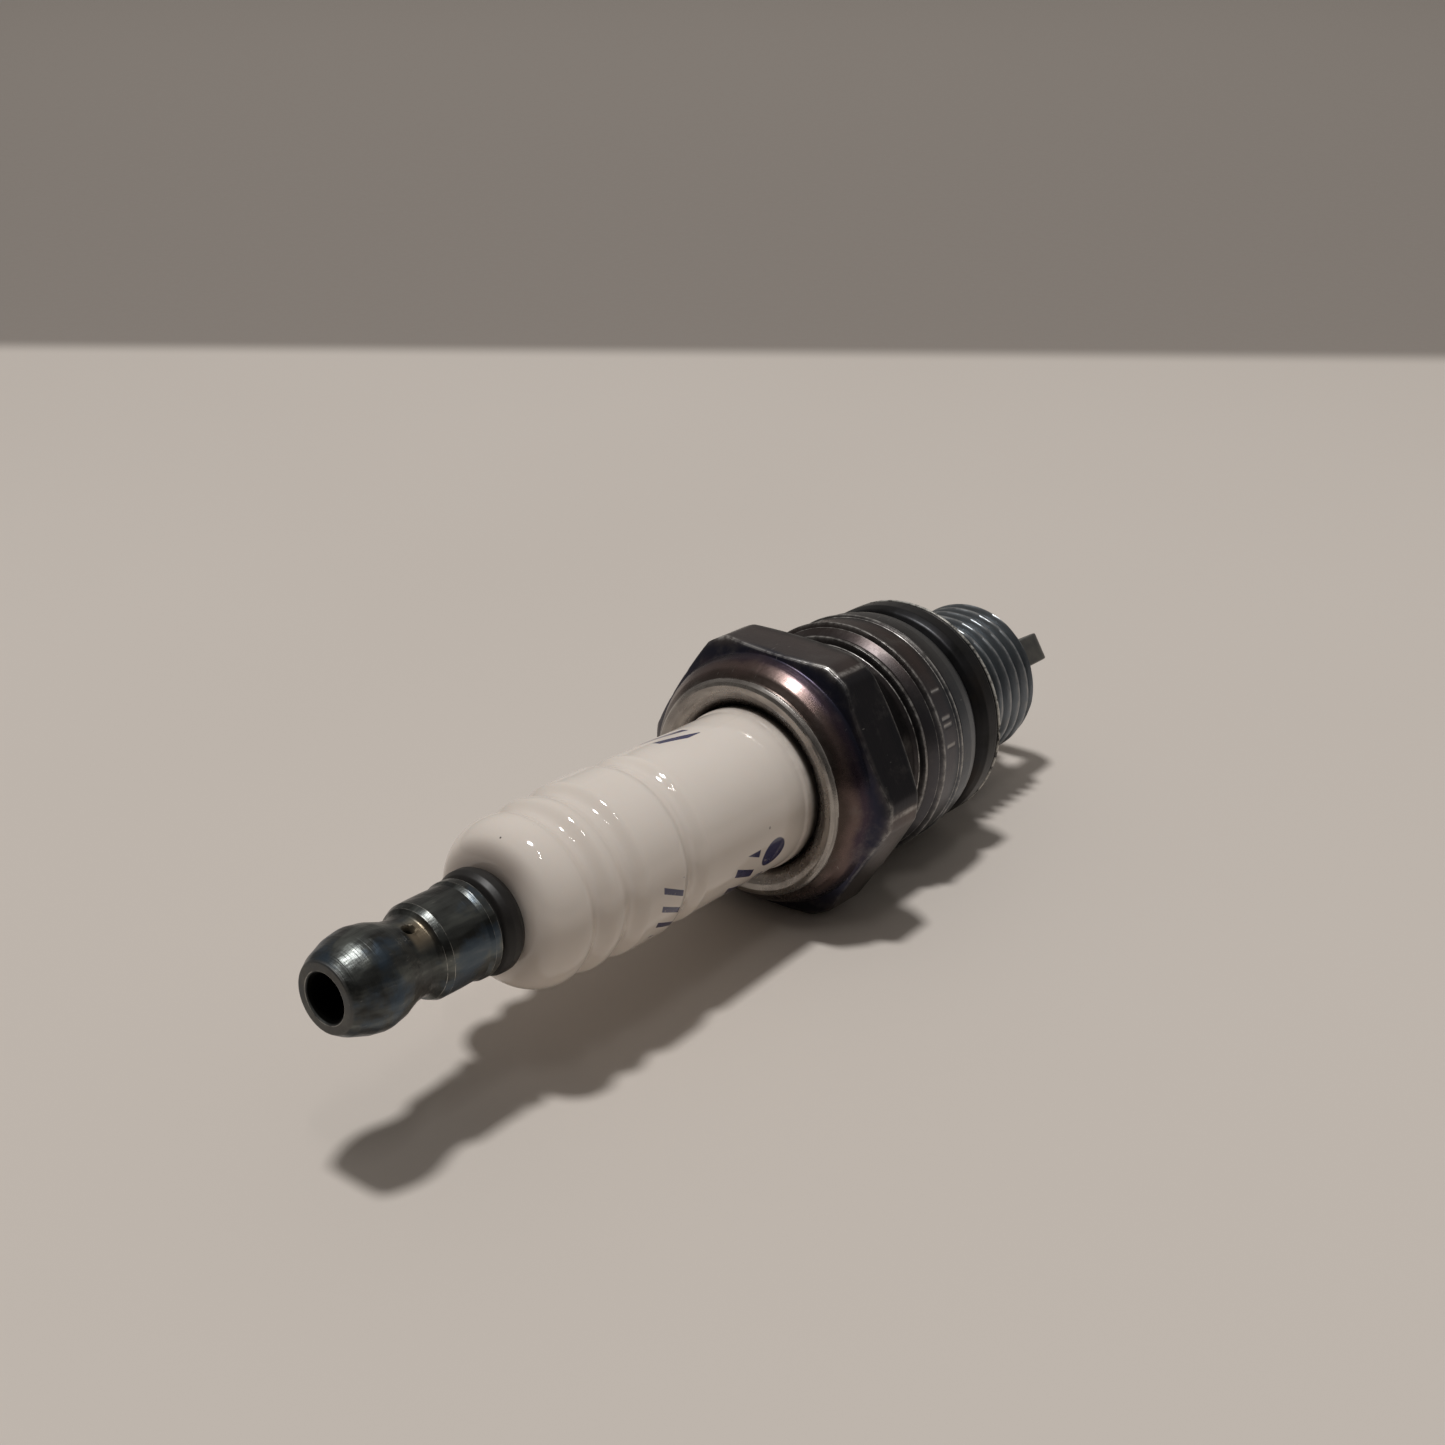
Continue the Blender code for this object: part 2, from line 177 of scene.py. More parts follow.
def rounded(points, step=0.25, arc_steps=6):
    """Turn (radius, height, fillet) corners into a dense outline.

    Returns radius, height and how sharp an outer edge each point is on (0 to 1).
    Only a small fillet counts as a sharp edge.
    """
    points = [point if len(point) == 3 else (*point, 0.0) for point in points]
    path = []
    for index, (radius, height, fillet) in enumerate(points):
        corner = np.array((radius, height))
        if fillet == 0 or index in (0, len(points) - 1):
            path.append((corner, 0.0))
            continue
        before = np.array(points[index - 1][:2]) - corner
        after = np.array(points[index + 1][:2]) - corner
        before_length = np.linalg.norm(before)
        after_length = np.linalg.norm(after)
        before /= before_length
        after /= after_length
        half = math.acos(max(-1.0, min(1.0, float(before @ after)))) / 2
        reach = min(fillet / math.tan(half), before_length * 0.49, after_length * 0.49)
        turn = before[0] * after[1] - before[1] * after[0]
        edge = 1.0 if turn > 0 and fillet <= SHARP_FILLET else 0.0
        for k in range(arc_steps + 1):
            t = k / arc_steps
            start = corner + before * reach
            end = corner + after * reach
            spot = start * (1 - t) ** 2 + corner * 2 * t * (1 - t) + end * t * t
            path.append((spot, edge * math.sin(math.pi * t) ** 0.5))
    dense = [(*path[0][0], path[0][1])]
    for (left, left_edge), (right, right_edge) in zip(path, path[1:]):
        pieces = max(1, int(np.linalg.norm(right - left) / step))
        for k in range(1, pieces + 1):
            t = k / pieces
            spot = left * (1 - t) + right * t
            edge = right_edge * t ** 4 + left_edge * (1 - t) ** 4
            dense.append((*spot, max(edge, right_edge if k == pieces else 0.0)))
    return np.array(dense)


def grid(outline, columns):
    """Radius, height, edge and angle arrays for an outline turned into columns."""
    angles = np.linspace(0, 2 * np.pi, columns, endpoint=False)
    spread = np.ones((1, columns))
    radius = outline[:, 0][:, None] * spread
    height = outline[:, 1][:, None] * spread
    edge = outline[:, 2][:, None] * spread
    return radius, height, edge, angles


def shaded_piece(name, mesh, sharp_degrees):
    """Give a closed mesh outward normals and smooth shading, and put it in the scene."""
    cleaned = bmesh.new()
    cleaned.from_mesh(mesh)
    bmesh.ops.recalc_face_normals(cleaned, faces=cleaned.faces)
    cleaned.to_mesh(mesh)
    cleaned.free()
    mesh.shade_smooth()
    mesh.set_sharp_from_angle(angle=math.radians(sharp_degrees))
    piece = bpy.data.objects.new(name, mesh)
    bpy.context.scene.collection.objects.link(piece)
    return piece


def skin(name, radius, height, angles, masks=None, ring=True):
    """A mesh object from turned rows; a ring's last row joins its first."""
    rows, columns = radius.shape
    x = SEAT_X + height * MM
    y = radius * np.sin(angles)[None, :] * MM
    z = AXIS_Z + radius * np.cos(angles)[None, :] * MM
    points = np.stack([x, y, z], axis=-1).reshape(-1, 3)
    row_count = rows if ring else rows - 1
    row = np.arange(row_count)[:, None]
    column = np.arange(columns)[None, :]
    following_row = (row + 1) % rows
    following = (column + 1) % columns
    corners = [row * columns + column, following_row * columns + column,
               following_row * columns + following, row * columns + following]
    spread = [np.broadcast_to(corner, (row_count, columns)) for corner in corners]
    faces = np.stack(spread, axis=-1).reshape(-1, 4).tolist()
    if not ring:
        faces.append(list(range(columns)))
        faces.append(list(reversed(range((rows - 1) * columns, rows * columns))))
    mesh = bpy.data.meshes.new(name)
    mesh.from_pydata(points.tolist(), [], faces)
    mesh.validate()
    piece = shaded_piece(name, mesh, sharp_degrees=40)
    for mask, values in (masks or {}).items():
        attribute = mesh.attributes.new(mask, "FLOAT", "POINT")
        attribute.data.foreach_set("value", values.astype(np.float32).ravel())
    return piece


def finish_piece(piece, body, slot, material, *replaced):
    """Give a piece its material, hang it on its body and hide the CAD nodes it replaces."""
    piece.data.materials.clear()
    piece.data.materials.append(material)
    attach(piece, body)
    if replaced:
        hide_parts(*replaced)


# --- Material kit -------------------------------------------------------------

class Nodes:
    """Short calls for building one material's node tree."""

    def __init__(self, name):
        self.material = bpy.data.materials.new(name)
        self.material.use_nodes = True
        self.tree = self.material.node_tree
        self.shader = self.tree.nodes["Principled BSDF"]
        self.coordinates = self.tree.nodes.new("ShaderNodeTexCoord").outputs["Object"]
        self.height = None
        self.angle = None

    def set(self, **values):
        """Uniform values on the shader's own sockets, with _ for a space."""
        for name, value in values.items():
            socket = self.shader.inputs[name.replace("_", " ")]
            socket.default_value = (*value, 1.0) if isinstance(value, tuple) else value

    def link(self, output, name):
        self.tree.links.new(output, self.shader.inputs[name])

    def feed(self, socket, value):
        """Link a socket to another node's output, or give it a plain value."""
        if isinstance(value, bpy.types.NodeSocket):
            self.tree.links.new(value, socket)
        else:
            socket.default_value = value

    def math(self, operation, first, second=0.0, third=None, clamp=False):
        node = self.tree.nodes.new("ShaderNodeMath")
        node.operation = operation
        node.use_clamp = clamp
        self.feed(node.inputs[0], first)
        self.feed(node.inputs[1], second)
        if third is not None:
            self.feed(node.inputs[2], third)
        return node.outputs[0]

    def span(self, value, low, high, out_low=0.0, out_high=1.0):
        """A smooth step from out_low to out_high as the value goes from low to high."""
        node = self.tree.nodes.new("ShaderNodeMapRange")
        node.interpolation_type = "SMOOTHSTEP"
        self.feed(node.inputs[0], value)
        for index, number in enumerate((low, high, out_low, out_high), start=1):
            node.inputs[index].default_value = number
        return node.outputs[0]

    def between(self, value, low, high, soft):
        """1 between low and high, 0 outside, with soft ends."""
        rise = self.span(value, low - soft, low + soft)
        fall = self.span(value, high - soft, high + soft, 1.0, 0.0)
        return self.math("MULTIPLY", rise, fall)

    def mix(self, factor, first, second):
        node = self.tree.nodes.new("ShaderNodeMix")
        node.data_type = "RGBA"
        self.feed(node.inputs[0], factor)
        for socket, value in ((node.inputs[6], first), (node.inputs[7], second)):
            self.feed(socket, (*value, 1.0) if isinstance(value, tuple) else value)
        return node.outputs[2]

    def mask(self, name):
        """A mask that skin() stored on the mesh."""
        node = self.tree.nodes.new("ShaderNodeAttribute")
        node.attribute_name = name
        return node.outputs["Fac"]

    def stretched(self, scale):
        node = self.tree.nodes.new("ShaderNodeMapping")
        node.inputs["Scale"].default_value = scale
        self.tree.links.new(self.coordinates, node.inputs["Vector"])
        return node.outputs["Vector"]

    def noise(self, scale, detail=3.0, rough=0.55, stretch=None, seed=0.0):
        node = self.tree.nodes.new("ShaderNodeTexNoise")
        node.noise_dimensions = "4D"
        node.inputs["W"].default_value = seed
        node.inputs["Scale"].default_value = scale
        node.inputs["Detail"].default_value = detail
        node.inputs["Roughness"].default_value = rough
        source = self.stretched(stretch) if stretch else self.coordinates
        self.tree.links.new(source, node.inputs["Vector"])
        return node.outputs["Fac"]

    def cells(self, scale):
        node = self.tree.nodes.new("ShaderNodeTexVoronoi")
        node.inputs["Scale"].default_value = scale
        self.tree.links.new(self.coordinates, node.inputs["Vector"])
        return node.outputs["Distance"]

    def ramp(self, value, stops):
        node = self.tree.nodes.new("ShaderNodeValToRGB")
        node.color_ramp.interpolation = "EASE"
        self.tree.links.new(value, node.inputs[0])
        elements = node.color_ramp.elements
        while len(elements) < len(stops):
            elements.new(1.0)
        for element, (place, colour) in zip(elements, stops):
            element.position = place
            element.color = (*colour, 1.0)
        return node.outputs[0]

    def place(self):
        """Height along the plug in mm, and degrees from straight up towards +Y."""
        if self.height is None:
            split = self.tree.nodes.new("ShaderNodeSeparateXYZ")
            self.tree.links.new(self.coordinates, split.inputs[0])
            self.height = self.math("MULTIPLY_ADD", split.outputs[0], 1 / MM, -SEAT_X / MM)
            up = self.math("SUBTRACT", split.outputs[2], AXIS_Z)
            angle = self.math("ARCTAN2", split.outputs[1], up)
            self.angle = self.math("MULTIPLY", angle, 180 / math.pi)
        return self.height, self.angle

    def bump(self, value, distance, strength):
        node = self.tree.nodes.new("ShaderNodeBump")
        node.inputs["Distance"].default_value = distance
        node.inputs["Strength"].default_value = strength
        self.tree.links.new(value, node.inputs["Height"])
        self.link(node.outputs[0], "Normal")

    def add(self, *values):
        total = values[0]
        for value in values[1:]:
            total = self.math("ADD", total, value)
        return total

    def scaled(self, value, amount, offset=0.0):
        return self.math("MULTIPLY_ADD", value, amount, offset)


def turned_steel(name, base, tint, roughness, edge_colour):
    """Bare or plated metal with lathe lines, a cloudy tint and rubbed edges."""
    n = Nodes(name)
    cloud = n.noise(260, 4, 0.6, seed=1.0)
    fine = n.noise(2200, 3, 0.6, seed=2.0)
    lines = n.noise(900, 2, 0.7, stretch=(9.0, 0.35, 0.35), seed=3.0)
    colour = n.mix(n.span(cloud, 0.35, 0.68), base, tint)
    wear_noise = n.span(n.noise(1300, 4, 0.7, seed=4.0), 0.36, 0.62)
    wear = n.math("MULTIPLY", n.mask("edge"), n.scaled(wear_noise, 0.85, 0.15), clamp=True)
    colour = n.mix(n.scaled(wear, 0.9), colour, edge_colour)
    n.link(colour, "Base Color")
    rough = n.add(n.scaled(cloud, 0.22, roughness - 0.11), n.scaled(fine, 0.12, -0.06))
    n.link(n.math("ADD", rough, n.scaled(wear, -0.08), clamp=True), "Roughness")
    n.set(Metallic=1.0)
    surface = n.add(n.scaled(lines, 0.8), n.scaled(fine, 0.5), n.scaled(cloud, 0.6))
    n.bump(surface, 0.000012, 0.55)
    return n.material


# --- Terminal end -------------------------------------------------------------

def build_terminal_nut():
    """The snap terminal: bore, rounded head, waist with a stake mark, collar and rear flange."""
    outline = rounded([
        (NUT_BORE_R, 47.0), (NUT_BORE_R, 53.3), (1.44, 53.6), (1.44, 55.5, 0.05), (1.66, NUT_FRONT, 0.08),
        (2.2, NUT_FRONT, 0.16),
        (2.62, 55.1, 0.8), (3.05, 53.9, 1.2), (3.22, 52.8, 1.6), (3.02, 51.7, 1.6),
        (2.62, 50.6, 1.4), (2.5, 49.85, 0.6), (2.56, 49.2, 0.25), (2.86, 48.95, 0.1),
        (3.05, 48.5, 0.12), (3.05, 45.6, 0.05), (3.12, 45.42, 0.05), (NUT_FLANGE_R, 45.28, 0.06),
        (NUT_FLANGE_R, NUT_REAR, 0.12), (1.8, NUT_REAR), (NUT_BORE_R, 44.9), (NUT_BORE_R, 46.0)], step=0.12)
    radius, height, edge, angles = grid(outline, columns=288)
    around = signed_degrees(angles)[None, :]
    outer = radius > 2.0
    # The stake mark: a small round dent in the waist with a raised lip.
    waist_r, stake_height = 2.55, 50.08
    stake_r, stake_depth, stake_lip_r = 0.32, 0.32, 0.42
    across = (around - STAKE_AROUND) * math.pi / 180 * waist_r
    distance = np.hypot(across, (height - stake_height) * 0.95)
    dent = np.where(outer, stake_depth * (1 - 1 / (1 + np.exp(-(distance - stake_r) / 0.03))), 0.0)
    lip = np.where(outer, 0.05 * np.exp(-((distance - stake_lip_r) / 0.07) ** 2), 0.0)
    knocks = 0.022 * noise_wave(around / 360 * 4 + height * 0.23, 11, 5) * outer
    radius = np.minimum(radius - dent + lip + knocks * (height < NUT_FRONT - 0.3), NUT_FLANGE_R)
    # Painted shade: the stake dent and the bore are darkened in colour.
    recess_shade = np.clip(dent / 0.3, 0, 1)
    bore = np.where((radius < NUT_BORE_R + 0.02) & (height < NUT_FRONT - 0.05), 1.0, 0.0)
    face = np.where((height > NUT_FRONT - 0.12) & (radius > 1.6) & (radius < 2.35), 1.0, 0.0)
    masks = {"edge": edge, "recess_shade": np.clip(recess_shade + bore, 0, 1), "face": face}
    piece = skin("terminal_nut_skin", radius, height, angles, masks)
    n = Nodes("blued_zinc")
    h, angle = n.place()
    cloud = n.noise(260, 4, 0.6, seed=1.5)
    fine = n.noise(2600, 3, 0.65, seed=2.5)
    lines = n.noise(800, 2, 0.7, stretch=(0.4, 3.0, 3.0), seed=3.5)
    streak = n.noise(420, 3, 0.6, stretch=(0.35, 1.6, 1.6), seed=6.5)
    colour = n.ramp(streak, [(0.34, (0.04, 0.041, 0.039)), (0.50, (0.085, 0.09, 0.087)),
                             (0.62, (0.15, 0.16, 0.15)), (0.74, (0.24, 0.24, 0.22))])
    colour = n.mix(n.scaled(n.span(cloud, 0.50, 0.62), 0.6), colour, (0.065, 0.10, 0.145))
    # A painted golden reflection on the waist, on its side towards the lamp.
    band = n.between(h, 49.1, 50.4, 0.2)
    waist_reflection = n.math("MULTIPLY", band, n.between(angle, 10.0, 48.0, 14.0))
    colour = n.mix(n.scaled(waist_reflection, 0.55), colour, (0.50, 0.41, 0.29))
    colour = n.mix(n.scaled(n.mask("face"), 0.7), colour, (0.13, 0.128, 0.122))
    wear = n.math("MULTIPLY", n.mask("edge"), n.span(n.noise(1500, 4, 0.7, seed=4.5), 0.38, 0.60))
    scuff = n.span(n.noise(900, 3, 0.8, stretch=(0.5, 2.5, 2.5), seed=5.5), 0.62, 0.74)
    wear = n.math("MAXIMUM", wear, n.scaled(scuff, 0.35))
    colour = n.mix(n.scaled(wear, 0.8), colour, (0.48, 0.47, 0.44))
    # Painted shade: near black in the stake dent and the bore.
    colour = n.mix(n.mask("recess_shade"), colour, (0.006, 0.006, 0.005))
    n.link(colour, "Base Color")
    rough = n.add(n.scaled(cloud, 0.26, 0.20), n.scaled(fine, 0.14, -0.07),
                  n.scaled(n.mask("recess_shade"), 0.5), n.scaled(n.mask("face"), 0.15))
    n.link(rough, "Roughness")
    n.set(Metallic=1.0)
    lathe = n.noise(900, 2, 0.7, stretch=(9.0, 0.35, 0.35), seed=7.5)
    n.bump(n.add(n.scaled(lathe, 1.3), lines, n.scaled(fine, 0.5), n.scaled(cloud, 1.6)), 0.000022, 0.75)
    finish_piece(piece, "terminal_nut_body", "terminal_nut", n.material, "terminal_nut")


def build_terminal_stud():
    """The stud's threaded top, black rolled flange, shank and grooved foot."""
    crests = []
    for turn in range(STUD_TURNS):
        crest = 52.45 - turn * STUD_PITCH
        crests += [(STUD_THREAD_R, crest + 0.08, 0.05), (STUD_THREAD_R, crest - 0.05, 0.05)]
        crests += [(STUD_ROOT_R, crest - STUD_PITCH / 2, 0.06)]
    grooves = []
    for height in (26.6, 25.5, 24.4):
        grooves += [(STUD_GROOVE_R, height, 0.1), (STUD_SHANK_R, height - 0.5, 0.1)]
    outline = rounded([(0.02, STUD_TOP), (1.22, STUD_TOP, 0.1)] + crests + [
        (STUD_ROOT_R, FLANGE_TOP, 0.1), (2.8, FLANGE_TOP, 0.25), (3.22, 44.25, 0.3),
        (FLANGE_R, 43.85, 0.3), (FLANGE_R, 43.3, 0.3), (3.2, 42.85, 0.3), (2.6, 42.7, 0.1),
        (STUD_SHANK_R, 42.7, 0.1), (STUD_SHANK_R, 26.9)] + grooves + [
        (1.6, STUD_FOOT, 0.1), (0.02, STUD_FOOT)], step=0.3, arc_steps=4)
    radius, height, edge, angles = grid(outline, columns=160)
    ring_zone = (height > 42.65) & (radius > 2.0)
    wobble = 0.012 * noise_wave(turns(angles) * 2 + height, 5)
    radius = np.minimum(radius + ring_zone * wobble, FLANGE_R)
    piece = skin("terminal_stud_skin", radius, height, angles, {"edge": edge}, ring=False)
    n = Nodes("blackened_flange")
    h, _ = n.place()
    cloud = n.noise(420, 4, 0.6, seed=6.0)
    fine = n.noise(3000, 3, 0.6, seed=7.0)
    black = n.ramp(cloud, [(0.3, (0.005, 0.0045, 0.004)), (0.7, (0.013, 0.011, 0.010))])
    steel = n.ramp(cloud, [(0.3, (0.16, 0.17, 0.17)), (0.7, (0.30, 0.30, 0.28))])
    thread = n.span(h, 44.4, 44.6)
    n.link(n.mix(thread, black, steel), "Base Color")
    n.link(n.scaled(thread, 0.9, 0.1), "Metallic")
    n.link(n.add(n.scaled(cloud, 0.3, 0.32), n.scaled(fine, 0.1, -0.05)), "Roughness")
    n.bump(n.add(n.scaled(fine, 0.6), cloud), 0.000018, 0.6)
    finish_piece(piece, "plug", "terminal_stud", n.material, "terminal_stud")


# --- Ceramic ------------------------------------------------------------------

def ceramic_outline():
    """The insulator's outline: domed shoulder, grooved ribs, barrel, then the hidden inside."""
    dome_r, dome_middle = 2.65, 39.95
    dome_centre = 5.66 - dome_r
    rows = [(STUD_BORE_R, 20.0), (STUD_BORE_R, CERAMIC_TOP), (2.9, CERAMIC_TOP)]
    for turn in np.radians(np.linspace(87, 0, 26)):
        rows.append((dome_centre + dome_r * math.cos(turn), dome_middle + dome_r * math.sin(turn)))
    # Groove middle, depth, length of its flank towards the terminal and towards the shell.
    grooves = ((38.5, 0.55, 1.4, 1.15), (35.5, 0.54, 1.7, 1.15), (29.5, 0.44, 1.9, 1.05))
    ribs_top, ribs_bottom, barrel_bottom, head_top = 39.9, 28.0, 18.6, 14.1
    ribs = np.concatenate((
        np.arange(ribs_top, ribs_bottom, -0.08),
        np.arange(ribs_bottom, barrel_bottom, -0.4),
        np.arange(barrel_bottom, head_top, -0.08),
    ))
    # Radius before the grooves are cut, by height.
    crest_heights = (head_top, 22.0, ribs_bottom, 31.2, 33.6, 36.8, ribs_top)
    crest_radii = (CERAMIC_R, CERAMIC_R, 5.8, 5.93, 5.93, 5.82, 5.66)
    base = np.interp(ribs, crest_heights, crest_radii)
    for middle, depth, upper, lower in grooves:
        along = np.where(ribs > middle, (ribs - middle) / upper, (middle - ribs) / lower)
        base = base - depth * (0.5 + 0.5 * np.cos(math.pi * np.clip(along, 0, 1)))
    # A thin bead of glaze where the barrel enters the shell.
    base = base + 0.12 * np.clip((18.15 - ribs) / 0.25, 0, 1) * (ribs > 15)
    rows += list(zip(base, ribs))
    inside = rounded([
        (CERAMIC_R, head_top), (5.9, 13.5, 0.2), (6.55, 13.2, 0.1), (CERAMIC_HEAD_R, 12.9, 0.2),
        (CERAMIC_HEAD_R, 6.2, 0.2), (6.45, 5.8, 0.2), (CERAMIC_NECK_R, 4.4, 0.2),
        (CERAMIC_NECK_R, -3.0, 0.2), (3.25, -3.9, 0.2), (3.05, -4.6, 0.2), (2.05, -13.2, 0.2),
        (1.8, NOSE_END, 0.08), (ELECTRODE_BORE_R, NOSE_END, 0.05), (ELECTRODE_BORE_R, 1.9),
        (STUD_BORE_R, 2.4)], step=0.4)
    outline = [(radius, height, 0.0) for radius, height in rows]
    return np.array(outline + [tuple(row) for row in inside])


def build_insulator():
    """The glazed ceramic, stained near the lip and painted with shade at both ends, with its worn print and
    bare firing nose.
    """
    radius, height, _, angles = grid(ceramic_outline(), columns=256)
    outer = (radius > 2.5) & (height > 17.4) & (height < 42.4)
    radius = radius + 0.012 * noise_wave(turns(angles) * 2 + height * 0.05, 21, 3) * outer
    piece = skin("insulator_skin", radius, height, angles)
    n = Nodes("glazed_alumina")
    h, angle = n.place()
    cloud = n.noise(90, 3, 0.5, seed=8.0)
    blotch = n.noise(330, 4, 0.65, seed=9.0)
    orange_peel = n.noise(430, 2, 0.5, seed=10.0)
    colour = n.ramp(cloud, [(0.35, (0.735, 0.665, 0.60)), (0.65, (0.775, 0.705, 0.64))])
    # Soot and brown stain near the crimped lip; round the stud's flange, painted shade and reflection of
    # the black flange, strongest on top.
    lip_zone = n.span(h, 17.3, 18.9, 1.0, 0.0)
    lip_stain = n.math("MULTIPLY", lip_zone, n.span(blotch, 0.25, 0.7), clamp=True)
    flange_shade = n.math("MULTIPLY", n.span(h, 41.7, 42.6), n.span(angle, 60.0, 20.0, 0.25, 1.0))
    stain_and_flange_shade = n.math("MAXIMUM", n.scaled(lip_stain, 0.55), n.scaled(flange_shade, 0.6))
    colour = n.mix(stain_and_flange_shade, colour, (0.20, 0.145, 0.115))
    # Painted shade where the glaze goes down into the shell's lip.
    lip_gap_shade = n.span(h, 17.0, 17.75, 1.0, 0.0)
    colour = n.mix(n.scaled(lip_gap_shade, 0.9), colour, (0.02, 0.016, 0.013))
    # Firing-end nose: bare, tan and sooty towards the tip.
    nose = n.span(h, -2.0, -8.0)
    colour = n.mix(n.scaled(nose, 0.8), colour, (0.42, 0.30, 0.19))
    ink = generic_print(n, h, angle)
    colour = n.mix(n.scaled(ink, 0.97), colour, (0.014, 0.015, 0.085))
    # Pinholes and specks in the glaze.
    speck = n.span(n.cells(420), 0.035, 0.055, 1.0, 0.0)
    speck = n.math("MULTIPLY", speck, n.span(n.noise(160, 2, 0.5, seed=12.0), 0.54, 0.60))
    colour = n.mix(speck, colour, (0.03, 0.022, 0.018))
    n.link(colour, "Base Color")
    dull = n.math("MAXIMUM", n.scaled(lip_stain, 0.25), n.scaled(n.span(h, 0.0, -2.0), 0.45))
    n.link(n.add(dull, n.scaled(blotch, 0.05, 0.045)), "Roughness")
    n.set(IOR=1.55, Subsurface_Weight=0.15, Subsurface_Scale=1.0)
    n.shader.inputs["Subsurface Radius"].default_value = (0.0016, 0.0012, 0.0009)
    n.bump(n.add(orange_peel, n.scaled(ink, 0.10), n.scaled(speck, -0.5)), 0.00002, 0.35)
    finish_piece(piece, "plug", "insulator", n.material, "insulator")


def generic_print(n, h, angle):
    """Worn blue bars and dots where a maker would print; no letters or marks."""
    slant = n.math("MULTIPLY_ADD", h, 4.5, angle)
    barrel_r = 5.76

    def bars(period, duty, low, high, start, stop):
        beat = n.math("FRACT", n.math("MULTIPLY", slant, 1 / period))
        stripes = n.between(beat, 0.12, 0.12 + duty, 0.015)
        stripes = n.math("MULTIPLY", stripes, n.between(h, low, high, 0.05))
        return n.math("MULTIPLY", stripes, n.between(angle, start, stop, 0.5))

    def dot(middle_h, middle_angle, size):
        across = n.math("MULTIPLY", n.math("SUBTRACT", angle, middle_angle), barrel_r * math.pi / 180)
        along = n.math("SUBTRACT", h, middle_h)
        far = n.math("ADD", n.math("MULTIPLY", across, across), n.math("MULTIPLY", along, along))
        return n.span(far, (size - 0.06) ** 2, (size + 0.06) ** 2, 1.0, 0.0)

    marks = [bars(16, 0.42, 22.4, 25.6, -34.0, -2.0), bars(13, 0.34, 31.2, 33.2, 86.0, 128.0),
             bars(18, 0.40, 22.9, 25.2, 98.0, 150.0), dot(21.2, 107.0, 1.15), dot(21.4, 134.0, 0.7)]
    ink = marks[0]
    for mark in marks[1:]:
        ink = n.math("MAXIMUM", ink, mark)
    return n.math("MULTIPLY", ink, n.span(n.noise(1700, 3, 0.7, seed=11.0), 0.22, 0.42, 0.6, 1.0))


# --- Shell --------------------------------------------------------------------

def thread_rows():
    """Heights up the thread, close enough to draw its flanks, ending at the relief neck."""
    heights = np.arange(-REACH, -RELIEF_LENGTH, PITCH / 18)
    return np.append(heights, -RELIEF_LENGTH)


def thread_radius(height, angles):
    """Radius of the right-handed thread, and how near its crest each point is (0 to 1)."""
    phase = (height / PITCH - (np.pi - angles) / (2 * np.pi)) % 1.0
    across = np.abs(phase - 0.5) * 2
    ridge = np.clip((across - 0.16) / 0.68, 0, 1)
    ridge = ridge * ridge * (3 - 2 * ridge) * 0.45 + ridge * 0.55
    radius = THREAD_ROOT_R + (THREAD_MAJOR_R - THREAD_ROOT_R) * ridge
    chamfer = THREAD_END_R + (height + REACH) * 1.0
    runout = RELIEF_R + (-RELIEF_LENGTH - height) * 1.6
    crest = np.clip((ridge - 0.9) / 0.1, 0, 1)
    return np.minimum(np.minimum(radius, chamfer), runout), crest


def hexagon_radius(angles):
    """Distance to the hexagon's side at each angle, with slightly rounded corners."""
    turn = (angles + math.pi / 6) % (math.pi / 3) - math.pi / 6
    side = HEX_HALF / np.cos(turn)
    sharpness = 22
    return -np.log(np.exp(-side * sharpness) + np.exp(-HEX_CORNER_R * sharpness)) / sharpness


